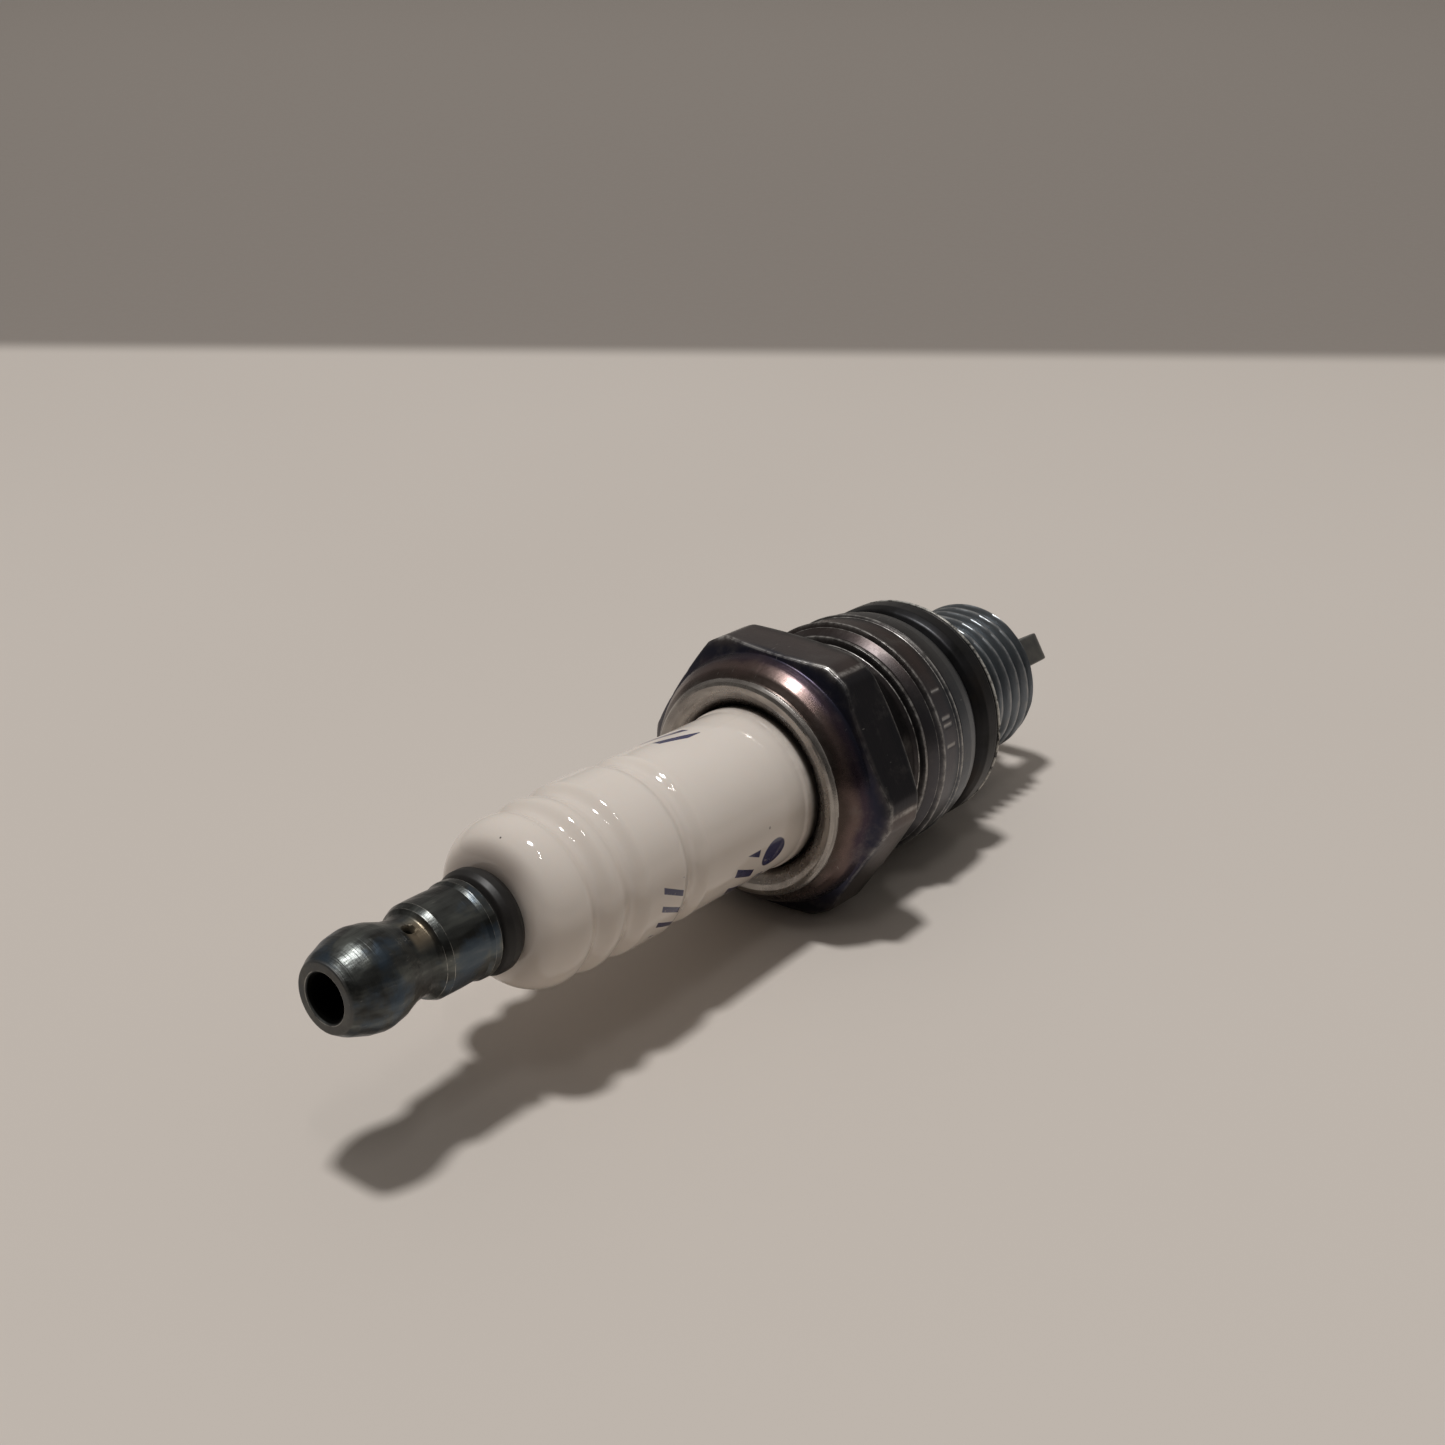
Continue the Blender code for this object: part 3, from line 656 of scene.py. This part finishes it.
def hexagon_rows(angles):
    """Rear face, rear chamfer, flats and the cone-shaped front chamfer of the hexagon."""
    outer = hexagon_radius(angles)
    degrees = signed_degrees(angles)
    corner = (degrees + 60) % 60 - 30
    corner_rub = 0.6 * np.clip(1.3 - np.abs(corner) / 1.1, 0, 1)
    # Handling has chipped the front edge most at the right of the top flat.
    handled = np.exp(-((degrees - 24) / 9) ** 2) + 0.7 * np.exp(-((degrees - 98) / 16) ** 2)
    handled += 0.5 * np.exp(-((degrees + 25) / 10) ** 2)
    chips = np.clip(noise_wave(turns(angles) * 11, 31, 6) - 0.2, 0, 1) * 0.4 * handled
    chips += np.clip(noise_wave(turns(angles) * 25, 33, 5) - 0.4, 0, 1) * 0.16
    # The top flat's front edge is also lightened as a painted highlight.
    front_rub_and_glint = np.clip(0.12 + 0.6 * handled + 0.35 * (np.abs(degrees) < 31), 0, 1)
    bevel = 0.09
    foot = GROOVE_R + 0.2

    def rear_face(radius):
        return HEX_REAR + np.clip(radius - HEX_HALF, 0, None) * HEX_REAR_RISE

    def front_face(radius):
        return HEX_FRONT_CORNER + (HEX_CORNER_R - radius) * HEX_FRONT_RISE

    rows = []
    for share in np.linspace(0, 1, 9):
        radius = foot + (outer - bevel - foot) * share
        rows.append((radius, rear_face(radius), np.full_like(angles, share ** 12 * 0.2)))
    for share in (0.35, 0.7, 1.0):
        radius = outer - bevel * (1 - share)
        rows.append((radius, rear_face(outer) + bevel * share ** 2, np.full_like(angles, 0.25)))
    low = rear_face(outer) + bevel
    high = front_face(outer) - bevel - chips
    for share in np.linspace(0.04, 0.96, 18):
        near = np.clip(1 - min(share, 1 - share) / 0.07, 0, 1) * 0.5
        rub = np.maximum(near * front_rub_and_glint, corner_rub)
        rows.append((outer.copy(), low + (high - low) * share, rub))
    for share in (0.0, 0.35, 0.7, 1.0):
        drop = (bevel + chips) * (1 - share) ** 2
        radius = outer - (bevel + chips * 0.7) * share
        rows.append((radius, front_face(outer) - drop, np.maximum(front_rub_and_glint, chips * 3)))
    inner = HEX_HALF - 0.26
    for share in np.linspace(0.97, 0, 8):
        radius = inner + (outer - bevel - chips * 0.7 - inner) * share
        rows.append((radius, front_face(radius), share ** 8 * 0.7 * front_rub_and_glint))
    return rows


def build_shell():
    """Thread, relief neck, seat flange, bands, crimp groove, hexagon, dome, lip and bore."""
    columns = 480
    angles = np.linspace(0, 2 * np.pi, columns, endpoint=False)
    blocks = []

    def turn(points, step=0.2, arc_steps=6):
        outline = rounded(points, step, arc_steps)
        for radius, height, edge in outline:
            blocks.append((np.full(columns, radius), np.full(columns, height), np.full(columns, edge)))

    turn([(FIRING_BORE_R, -6.0), (FIRING_BORE_R, -12.68, 0.04), (FIRING_BORE_R + 0.04, -REACH, 0.02),
          (THREAD_END_R - 0.03, -REACH)])
    for height in thread_rows():
        radius, crest = thread_radius(np.full(columns, height), angles)
        blocks.append((radius, np.full(columns, height), crest))
    turn([(RELIEF_R, -2.85), (RELIEF_R, 0.0), (7.85, 0.0, 0.05), (8.1, 0.15, 0.25), (8.5, 0.8, 0.8),
          (8.72, 1.7, 0.4), (8.74, 2.78, 0.05), (8.58, 2.86, 0.03), (8.58, 2.94, 0.03),
          (8.86, 3.02, 0.05), (8.9, 3.15, 0.05), (8.86, 3.28, 0.05), (8.74, 3.4, 0.1),
          (8.80, 5.3, 0.3), (8.94, 5.46, 0.05), (8.95, 5.66, 0.05), (8.6, 5.82, 0.05),
          (8.14, 6.55, 0.3), (8.22, 6.72, 0.05), (8.18, 6.92, 0.05), (7.72, 7.1, 0.1),
          (GROOVE_R, 7.5, 0.2), (GROOVE_R, 10.6, 0.2), (GROOVE_R + 0.2, HEX_REAR)], step=0.1)
    blocks.extend(hexagon_rows(angles))
    turn([(9.2, 15.29, 0.15), (9.16, 15.45, 0.2), (8.98, 15.95, 1.2), (8.5, 16.72, 1.2),
          (8.02, 17.2, 0.2), (7.95, 17.3, 0.05), (7.92, 17.42, 0.04), (7.76, 17.6, 0.1),
          (7.5, LIP_TOP, 0.2), (7.05, 17.6, 0.4), (6.5, 17.3, 0.4), (6.05, 17.0, 0.06),
          (5.95, 16.85, 0.04), (6.3, 16.72), (SHELL_BORE_R, 16.66), (SHELL_BORE_R, 6.05),
          (6.55, 5.62), (SHELL_NECK_R, 4.22), (SHELL_NECK_R, -3.55), (SEAT_LEDGE_R, -4.35),
          (SEAT_LEDGE_R, -5.2)], step=0.1)
    radius = np.array([block[0] for block in blocks])
    height = np.array([block[1] for block in blocks])
    edge = np.array([block[2] for block in blocks])
    outer = radius > 7.0
    shoulder = (height > 15.3) & (height < 17.2) & outer & (radius < 9.1)
    radius = radius + shoulder * 0.015 * noise_wave(turns(angles) * 3 + height * 0.1, 41, 3)
    lip_wave = 0.03 * noise_wave(turns(angles) * 5, 43, 5)
    lip_zone = (height > 17.3) & (radius > 6.2)
    height = np.where(lip_zone, np.minimum(height + lip_wave, LIP_TOP), height)
    around = signed_degrees(angles)[None, :]
    # The band ridges are rubbed light, partly as wear and partly as painted highlight lines.
    ridge_wear_and_glints = (3.14, 5.58, 6.82)
    for ridge in ridge_wear_and_glints:
        edge = np.maximum(edge, 0.9 * np.exp(-((height - ridge) / 0.11) ** 2) * outer)
    marks = np.zeros_like(radius)
    for centre, low, high in STAMPED_TICKS:
        across = np.abs(around - centre)
        stroke = np.clip(1.4 - across / 0.6, 0, 1) * (height > low) * (height < high) * outer
        marks = np.maximum(marks, stroke)
    radius = radius - marks * 0.05
    lip_floor = np.where(radius < 7.2, 16.8, 17.3)
    lip = np.clip((radius - 6.0) / 0.5, 0, 1) * ((height > lip_floor) & (radius < 8.0))
    # Painted shade: the bore and the crevice between the lip and the ceramic are darkened in colour.
    under_lip = (height > 0) & (height < 16.8) & (radius < SHELL_BORE_R + 0.05)
    bore = np.where((radius < 5.0) | under_lip, 1.0, 0.0)
    lip_crevice_shade = np.clip((6.12 - radius) / 0.15, 0, 1) * (height > 16.6)
    masks = {"edge": edge, "lip": lip, "bore": np.maximum(bore, lip_crevice_shade), "marks": marks}
    piece = skin("shell_skin", radius, height, angles, masks)
    finish_piece(piece, "plug", "shell", shell_material(), "shell")


def shell_material():
    """Blued steel with hot-crimp tint, a bright lip, rubbed edges and dull thread; painted shade on the
    right flat, in the bore and lip crevice, and a painted table reflection low down.
    """
    n = Nodes("tinted_shell")
    h, angle = n.place()
    cloud = n.noise(190, 4, 0.6, seed=13.0)
    patch = n.noise(520, 4, 0.65, seed=14.0)
    fine = n.noise(2600, 3, 0.65, seed=15.0)
    lines = n.noise(1000, 2, 0.7, stretch=(9.0, 0.3, 0.3), seed=16.0)
    drift = n.add(h, n.scaled(cloud, 2.2, -1.1), n.scaled(patch, 0.5, -0.25))
    low, high = -14.0, 18.5
    share = n.math("MULTIPLY", n.math("SUBTRACT", drift, low), 1 / (high - low))
    tints = (
        (-13.0, (0.23, 0.25, 0.27)), (-2.0, (0.20, 0.225, 0.245)), (1.0, (0.12, 0.12, 0.12)),
        (3.2, (0.055, 0.051, 0.051)), (4.3, (0.085, 0.063, 0.058)), (5.6, (0.065, 0.051, 0.049)),
        (7.0, (0.05, 0.043, 0.043)), (8.0, (0.012, 0.011, 0.012)), (10.9, (0.03, 0.028, 0.028)),
        (12.2, (0.115, 0.093, 0.088)), (14.4, (0.10, 0.083, 0.082)), (15.1, (0.030, 0.031, 0.052)),
        (15.8, (0.060, 0.042, 0.058)), (16.5, (0.140, 0.098, 0.090)), (17.2, (0.07, 0.052, 0.045)),
    )
    colour = n.ramp(share, [((height - low) / (high - low), tint) for height, tint in tints])
    # Painted shade on the hexagon's right flat, which faces away from the lamp.
    right_flat_shade = n.math("MULTIPLY", n.between(angle, 31.0, 89.0, 2.0), n.between(h, 10.9, 14.9, 0.3))
    colour = n.mix(n.scaled(right_flat_shade, 0.9), colour, (0.020, 0.021, 0.027))
    # A painted bluish reflection of the table on the lower right side, from the bands down the thread.
    table_reflection = n.math("MULTIPLY", n.between(angle, 50.0, 175.0, 18.0), n.span(h, 8.0, 5.0))
    colour = n.mix(n.scaled(table_reflection, 0.4), colour, (0.14, 0.165, 0.20))
    mottled = n.mix(n.scaled(n.span(patch, 0.50, 0.72), 0.3), colour, (0.19, 0.175, 0.165))
    brushed = n.noise(600, 2, 0.6, stretch=(8.0, 0.5, 0.5), seed=19.5)
    silver = n.ramp(brushed, [(0.3, (0.27, 0.25, 0.235)), (0.7, (0.46, 0.43, 0.40))])
    lip_wear = n.span(n.noise(500, 3, 0.6, seed=17.0), 0.30, 0.55, 0.72, 1.0)
    lip = n.math("MULTIPLY", n.mask("lip"), lip_wear)
    colour = n.mix(lip, mottled, silver)
    rub = n.span(n.noise(1400, 4, 0.7, seed=18.0), 0.38, 0.62)
    wear = n.math("MULTIPLY", n.mask("edge"), n.scaled(rub, 0.75, 0.2), clamp=True)
    wear = n.math("MULTIPLY", wear, n.span(h, -1.0, 1.0, 0.35, 1.0))
    scratch = n.span(n.noise(700, 2, 0.8, stretch=(1.0, 7.0, 0.7), seed=19.0), 0.69, 0.74)
    cuts = n.math("MAXIMUM", n.scaled(n.mask("marks"), 0.7), n.scaled(scratch, 0.25))
    wear = n.math("MAXIMUM", wear, cuts)
    colour = n.mix(n.scaled(wear, 0.9), colour, (0.62, 0.60, 0.57))
    # Painted shade in the bore and the lip's crevice.
    colour = n.mix(n.mask("bore"), colour, (0.02, 0.017, 0.015))
    n.link(colour, "Base Color")
    polished = n.span(h, 14.9, 15.6)
    rough = n.add(n.scaled(cloud, 0.2, 0.25), n.scaled(fine, 0.16, -0.08),
                  n.scaled(n.mask("bore"), 0.4), n.scaled(polished, -0.07))
    n.link(n.math("ADD", rough, n.scaled(wear, -0.06), clamp=True), "Roughness")
    # Oxide and rubbed metal scatter some light, so they are not fully mirror-like.
    n.link(n.scaled(wear, -0.6, 0.95), "Metallic")
    n.set(IOR=1.9)
    n.bump(n.add(n.scaled(lines, 1.0), n.scaled(fine, 0.7), n.scaled(patch, 0.8)), 0.000016, 0.6)
    return n.material


# --- Gasket, strap, electrode -------------------------------------------------

def build_gasket():
    """The folded crush washer, with a rubbed rear rim and the notch where its fold ends."""
    front, back = GASKET_FRONT, GASKET_BACK
    outline = rounded([
        (GASKET_BORE_R, front), (7.9, front, 0.1), (8.38, front - 0.3, 0.5),
        (GASKET_R, front - 0.9, 0.6), (GASKET_R, back + 0.55, 0.25), (8.44, back + 0.3, 0.06),
        (GASKET_R, back + 0.2, 0.04), (GASKET_R, back + 0.03, 0.04), (8.5, back, 0.03),
        (GASKET_BORE_R, back, 0.05), (GASKET_BORE_R, back + GASKET_SHEET, 0.05),
        (GASKET_FOLD_R, back + GASKET_SHEET, 0.2), (7.8, (front + back) / 2, 0.2),
        (GASKET_FOLD_R, front - GASKET_SHEET, 0.2), (GASKET_BORE_R, front - GASKET_SHEET, 0.05)],
        step=0.15)
    radius, height, edge, angles = grid(outline, columns=360)
    outer = radius > 7.9
    wobble = 0.03 * noise_wave(turns(angles) * 2, 51, 4) - 0.03
    radius = np.where(outer, radius + wobble, radius)
    around = signed_degrees(angles)[None, :]
    rim = np.where((height < back + 0.22) & (radius > 8.47), 1.0, 0.0)
    notch_around = 85.0
    slot = np.clip(1.5 - np.abs(around - notch_around) / 1.2, 0, 1)
    slot = slot * (height < back + 0.5) * (radius > 8.3)
    radius = radius - slot * 0.12
    masks = {"edge": np.maximum(edge * (height < back + 0.5), rim * 0.8), "recess_shade": slot}
    piece = skin("outer_gasket_skin", radius, height, angles, masks)
    n = Nodes("gasket_sheet_steel")
    cloud = n.noise(240, 4, 0.6, seed=20.0)
    fine = n.noise(2400, 3, 0.65, seed=21.0)
    lines = n.noise(900, 2, 0.7, stretch=(8.0, 0.3, 0.3), seed=22.0)
    colour = n.ramp(cloud, [(0.3, (0.015, 0.015, 0.015)), (0.5, (0.030, 0.030, 0.032)),
                            (0.7, (0.040, 0.035, 0.032))])
    wear = n.math("MULTIPLY", n.mask("edge"), n.span(n.noise(1200, 4, 0.7, seed=23.0), 0.36, 0.58))
    colour = n.mix(n.scaled(wear, 0.9), colour, (0.78, 0.76, 0.70))
    # Painted shade in the notch where the fold ends.
    colour = n.mix(n.mask("recess_shade"), colour, (0.01, 0.01, 0.01))
    n.link(colour, "Base Color")
    n.link(n.add(n.scaled(cloud, 0.2, 0.28), n.scaled(fine, 0.12, -0.06)), "Roughness")
    n.link(n.scaled(wear, -0.7, 0.95), "Metallic")
    n.bump(n.add(n.scaled(lines, 0.6), n.scaled(fine, 0.6), n.scaled(cloud, 1.2)), 0.000018, 0.6)
    finish_piece(piece, "gasket_body", "outer_gasket", n.material, "outer_gasket")


def direction(around):
    """Outward direction at an angle round the plug."""
    angle = math.radians(around)
    return Vector((0.0, math.sin(angle), math.cos(angle)))


def build_ground_electrode():
    """The bent strap, swept as a rounded rectangle along its centre line."""
    half_thickness = STRAP_THICKNESS / 2
    half_width = STRAP_WIDTH / 2
    corner = 0.13
    centre = []
    for height in np.linspace(STRAP_FOOT, STRAP_END + STRAP_BEND_R, 8):
        centre.append((STRAP_OUTER_R - half_thickness, height, 0.0))
    for angle in np.linspace(0, 90, 14)[1:]:
        turn = math.radians(angle)
        radius = STRAP_OUTER_R - STRAP_BEND_R + (STRAP_BEND_R - half_thickness) * math.cos(turn)
        height = STRAP_END + STRAP_BEND_R - (STRAP_BEND_R - half_thickness) * math.sin(turn)
        centre.append((radius, height, turn))
    for radius in np.linspace(STRAP_OUTER_R - STRAP_BEND_R, -STRAP_OVERHANG, 12)[1:]:
        centre.append((radius, STRAP_END + half_thickness, math.pi / 2))
    section = []
    for sign_t, sign_w, start in ((1, 1, 0), (-1, 1, 90), (-1, -1, 180), (1, -1, 270)):
        for step in range(5):
            turn = math.radians(start + 90 * step / 4)
            section.append((sign_t * (half_thickness - corner) + corner * math.cos(turn),
                            sign_w * (half_width - corner) + corner * math.sin(turn)))
    out = direction(STRAP_AROUND)
    along = Vector((1.0, 0.0, 0.0))
    side = out.cross(along)
    base = Vector((SEAT_X, 0.0, AXIS_Z))
    points = []
    for radius, height, turn in centre:
        normal = out * math.cos(turn) - along * math.sin(turn)
        spot = base + (out * radius + along * height) * MM
        points += [tuple(spot + (normal * t + side * w) * MM) for t, w in section]
    count = len(section)
    faces = []
    for row in range(len(centre) - 1):
        for k in range(count):
            following = (k + 1) % count
            faces.append((row * count + k, row * count + following,
                          (row + 1) * count + following, (row + 1) * count + k))
    faces.append(tuple(range(count)))
    faces.append(tuple(reversed(range((len(centre) - 1) * count, len(centre) * count))))
    mesh = bpy.data.meshes.new("ground_electrode_skin")
    mesh.from_pydata(points, [], faces)
    piece = shaded_piece("ground_electrode_skin", mesh, sharp_degrees=50)
    n = Nodes("strap_nickel")
    cloud = n.noise(420, 4, 0.6, seed=24.0)
    fine = n.noise(2600, 3, 0.65, seed=25.0)
    colour = n.ramp(cloud, [(0.3, (0.13, 0.135, 0.135)), (0.7, (0.22, 0.215, 0.20))])
    n.link(colour, "Base Color")
    n.link(n.add(n.scaled(cloud, 0.25, 0.35), n.scaled(fine, 0.12, -0.06)), "Roughness")
    n.set(Metallic=1.0)
    n.bump(n.add(n.scaled(fine, 0.7), cloud), 0.000018, 0.6)
    finish_piece(piece, "plug", "ground_electrode", n.material, "ground_electrode")


def build_centre_electrode():
    """The nickel cup round the copper core, from its head to the firing tip."""
    outline = rounded([
        (CORE_BORE_R, -11.0), (CORE_BORE_R, ELECTRODE_TOP), (1.5, ELECTRODE_TOP, 0.1),
        (ELECTRODE_HEAD_R, 4.0, 0.1), (ELECTRODE_HEAD_R, 2.75, 0.1), (ELECTRODE_R, 2.05, 0.1),
        (ELECTRODE_R, SPARK_TIP, 0.12), (0.02, SPARK_TIP), (0.02, CORE_BORE_END),
        (CORE_BORE_R, CORE_BORE_END)], step=0.4)
    radius, height, edge, angles = grid(outline, columns=96)
    piece = skin("centre_electrode_skin", radius, height, angles, {"edge": edge})
    material = turned_steel(
        "nickel_tip", (0.20, 0.18, 0.16), (0.30, 0.28, 0.25), 0.42, (0.5, 0.48, 0.45)
    )
    finish_piece(piece, "plug", "centre_electrode", material, "centre_electrode")


def dress_inner_nodes():
    """The sealed pieces keep their CAD solids and get their own materials."""
    looks = {
        "upper_glass_seal": ((0.05, 0.035, 0.025), (0.12, 0.09, 0.06), 0.2, 0.0),
        "lower_glass_seal": ((0.05, 0.035, 0.025), (0.12, 0.09, 0.06), 0.2, 0.0),
        "resistor": ((0.02, 0.02, 0.02), (0.06, 0.06, 0.06), 0.7, 0.0),
        "centre_electrode_core": ((0.60, 0.28, 0.17), (0.75, 0.42, 0.28), 0.3, 1.0),
        "upper_packing_ring": ((0.28, 0.28, 0.28), (0.42, 0.42, 0.41), 0.35, 1.0),
        "lower_packing_ring": ((0.28, 0.28, 0.28), (0.42, 0.42, 0.41), 0.35, 1.0),
        "talc_fill": ((0.62, 0.61, 0.57), (0.74, 0.73, 0.70), 0.9, 0.0),
        "inner_seat_washer": ((0.30, 0.30, 0.30), (0.45, 0.44, 0.42), 0.35, 1.0),
    }
    for seed, (node, (dark, light, roughness, metallic)) in enumerate(looks.items()):
        n = Nodes(node + "_look")
        cloud = n.noise(600, 4, 0.6, seed=30.0 + seed)
        n.link(n.mix(n.span(cloud, 0.35, 0.65), dark, light), "Base Color")
        n.link(n.scaled(cloud, 0.3, roughness - 0.15), "Roughness")
        n.set(Metallic=metallic)
        n.bump(n.noise(2400, 3, 0.6, seed=40.0 + seed), 0.00002, 0.6)
        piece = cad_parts[node]
        piece.data.materials.clear()
        piece.data.materials.append(n.material)


# --- Stage, lights and camera -------------------------------------------------

def build_stage():
    """A plain pale table, sloped to meet the gasket and hexagon, painted darker far behind as a shaded
    wall.
    """
    mesh = bpy.data.meshes.new("table")
    touch_x = SEAT_X + HEX_REAR * MM
    corners = []
    for sign_x, sign_y in ((-1, -1), (1, -1), (1, 1), (-1, 1)):
        x = sign_x * TABLE_HALF
        corners.append((x, sign_y * TABLE_HALF, (touch_x - x) * TABLE_SLOPE - TABLE_GAP))
    mesh.from_pydata(corners, [], [(0, 1, 2, 3)])
    table = bpy.data.objects.new("table", mesh)
    bpy.context.scene.collection.objects.link(table)
    n = Nodes("pale_table")
    cloud = n.noise(7, 3, 0.5, seed=50.0)
    grain = n.noise(900, 3, 0.6, seed=51.0)
    pale = n.mix(n.span(cloud, 0.3, 0.7), (0.615, 0.560, 0.508), (0.635, 0.580, 0.528))
    split = n.tree.nodes.new("ShaderNodeSeparateXYZ")
    n.tree.links.new(n.coordinates, split.inputs[0])
    back_x = n.math("MULTIPLY_ADD", split.outputs[0], -AWAY_X, SEAT_X * AWAY_X)
    distance = n.math("MULTIPLY_ADD", split.outputs[1], -AWAY_Y, back_x)
    # Painted shade: far behind, the table takes the dim tone of a wall, lighter further away.
    far = n.span(distance, DARK_START, DARK_END)
    dark = n.mix(n.span(distance, 0.13, 0.6), (0.268, 0.237, 0.212), (0.365, 0.325, 0.290))
    colour = n.mix(far, pale, dark)
    n.link(colour, "Base Color")
    n.link(n.scaled(grain, 0.1, 0.5), "Roughness")
    n.set(Metallic=0.0, Specular_IOR_Level=0.25)
    n.bump(grain, 0.00002, 0.25)
    mesh.materials.append(n.material)


def area_light(name, place, size, energy, colour, size_y=None):
    """A lamp aimed at the plug: a disc, or a rectangle when it has a second size."""
    light = bpy.data.lights.new(name, "AREA")
    light.energy = energy
    light.color = colour
    light.shape = "RECTANGLE" if size_y else "DISK"
    light.size = size
    if size_y:
        light.size_y = size_y
    lamp = bpy.data.objects.new(name, light)
    bpy.context.scene.collection.objects.link(lamp)
    lamp.location = place
    lamp.rotation_euler = (AIM - place).to_track_quat("-Z", "Y").to_euler()


def build_lights():
    """One round softbox nearly overhead, a faint thin tube and a dim room."""
    area_light("overhead_softbox", SOFTBOX_PLACE, SOFTBOX_WIDTH, SOFTBOX_POWER, (1.0, 0.995, 0.99))
    area_light("thin_tube", TUBE_PLACE, TUBE_WIDTH, TUBE_POWER, (1.0, 0.97, 0.94), TUBE_LENGTH)
    world = bpy.data.worlds.new("room")
    bpy.context.scene.world = world
    world.use_nodes = True
    tree = world.node_tree
    background = tree.nodes["Background"]
    background.inputs[0].default_value = (1.0, 0.94, 0.88, 1.0)
    # The room is brighter above and behind the plug than on the side facing the camera.
    look = tree.nodes.new("ShaderNodeTexCoord")
    facing = tree.nodes.new("ShaderNodeVectorMath")
    facing.operation = "DOT_PRODUCT"
    facing.inputs[1].default_value = ROOM_BRIGHT_SIDE
    shade = tree.nodes.new("ShaderNodeMapRange")
    for index, number in enumerate((-0.5, 1.0, ROOM_DIM, ROOM_BRIGHT), start=1):
        shade.inputs[index].default_value = number
    tree.links.new(look.outputs["Generated"], facing.inputs[0])
    tree.links.new(facing.outputs["Value"], shade.inputs[0])
    tree.links.new(shade.outputs[0], background.inputs[1])


def build_camera():
    """The photographer's viewpoint, from the plug's terminal end and above."""
    yaw = math.radians(CAMERA_YAW)
    pitch = math.radians(CAMERA_PITCH)
    roll = math.radians(CAMERA_ROLL)
    level = math.cos(pitch)
    forward = Vector((-math.cos(yaw) * level, -math.sin(yaw) * level, -math.sin(pitch)))
    right = Vector((-math.sin(yaw), math.cos(yaw), 0.0))
    up = right.cross(forward)
    rolled_right = right * math.cos(roll) + up * math.sin(roll)
    rolled_up = up * math.cos(roll) - right * math.sin(roll)
    camera_data = bpy.data.cameras.new("camera")
    camera_data.sensor_width = 36.0
    camera_data.lens = CAMERA_LENS
    camera_data.clip_start = 0.001
    camera = bpy.data.objects.new("camera", camera_data)
    bpy.context.scene.collection.objects.link(camera)
    rotation = Matrix((rolled_right, rolled_up, -forward)).transposed().to_4x4()
    place = Vector((SEAT_X, 0.0, AXIS_Z)) + CAMERA_OFFSET * MM
    camera.matrix_world = Matrix.Translation(place) @ rotation
    bpy.context.scene.camera = camera


build_camera()
build_terminal_nut()
build_terminal_stud()
build_insulator()
build_shell()
build_gasket()
build_ground_electrode()
build_centre_electrode()
dress_inner_nodes()
build_stage()
build_lights()
bpy.context.scene.view_settings.view_transform = "Standard"
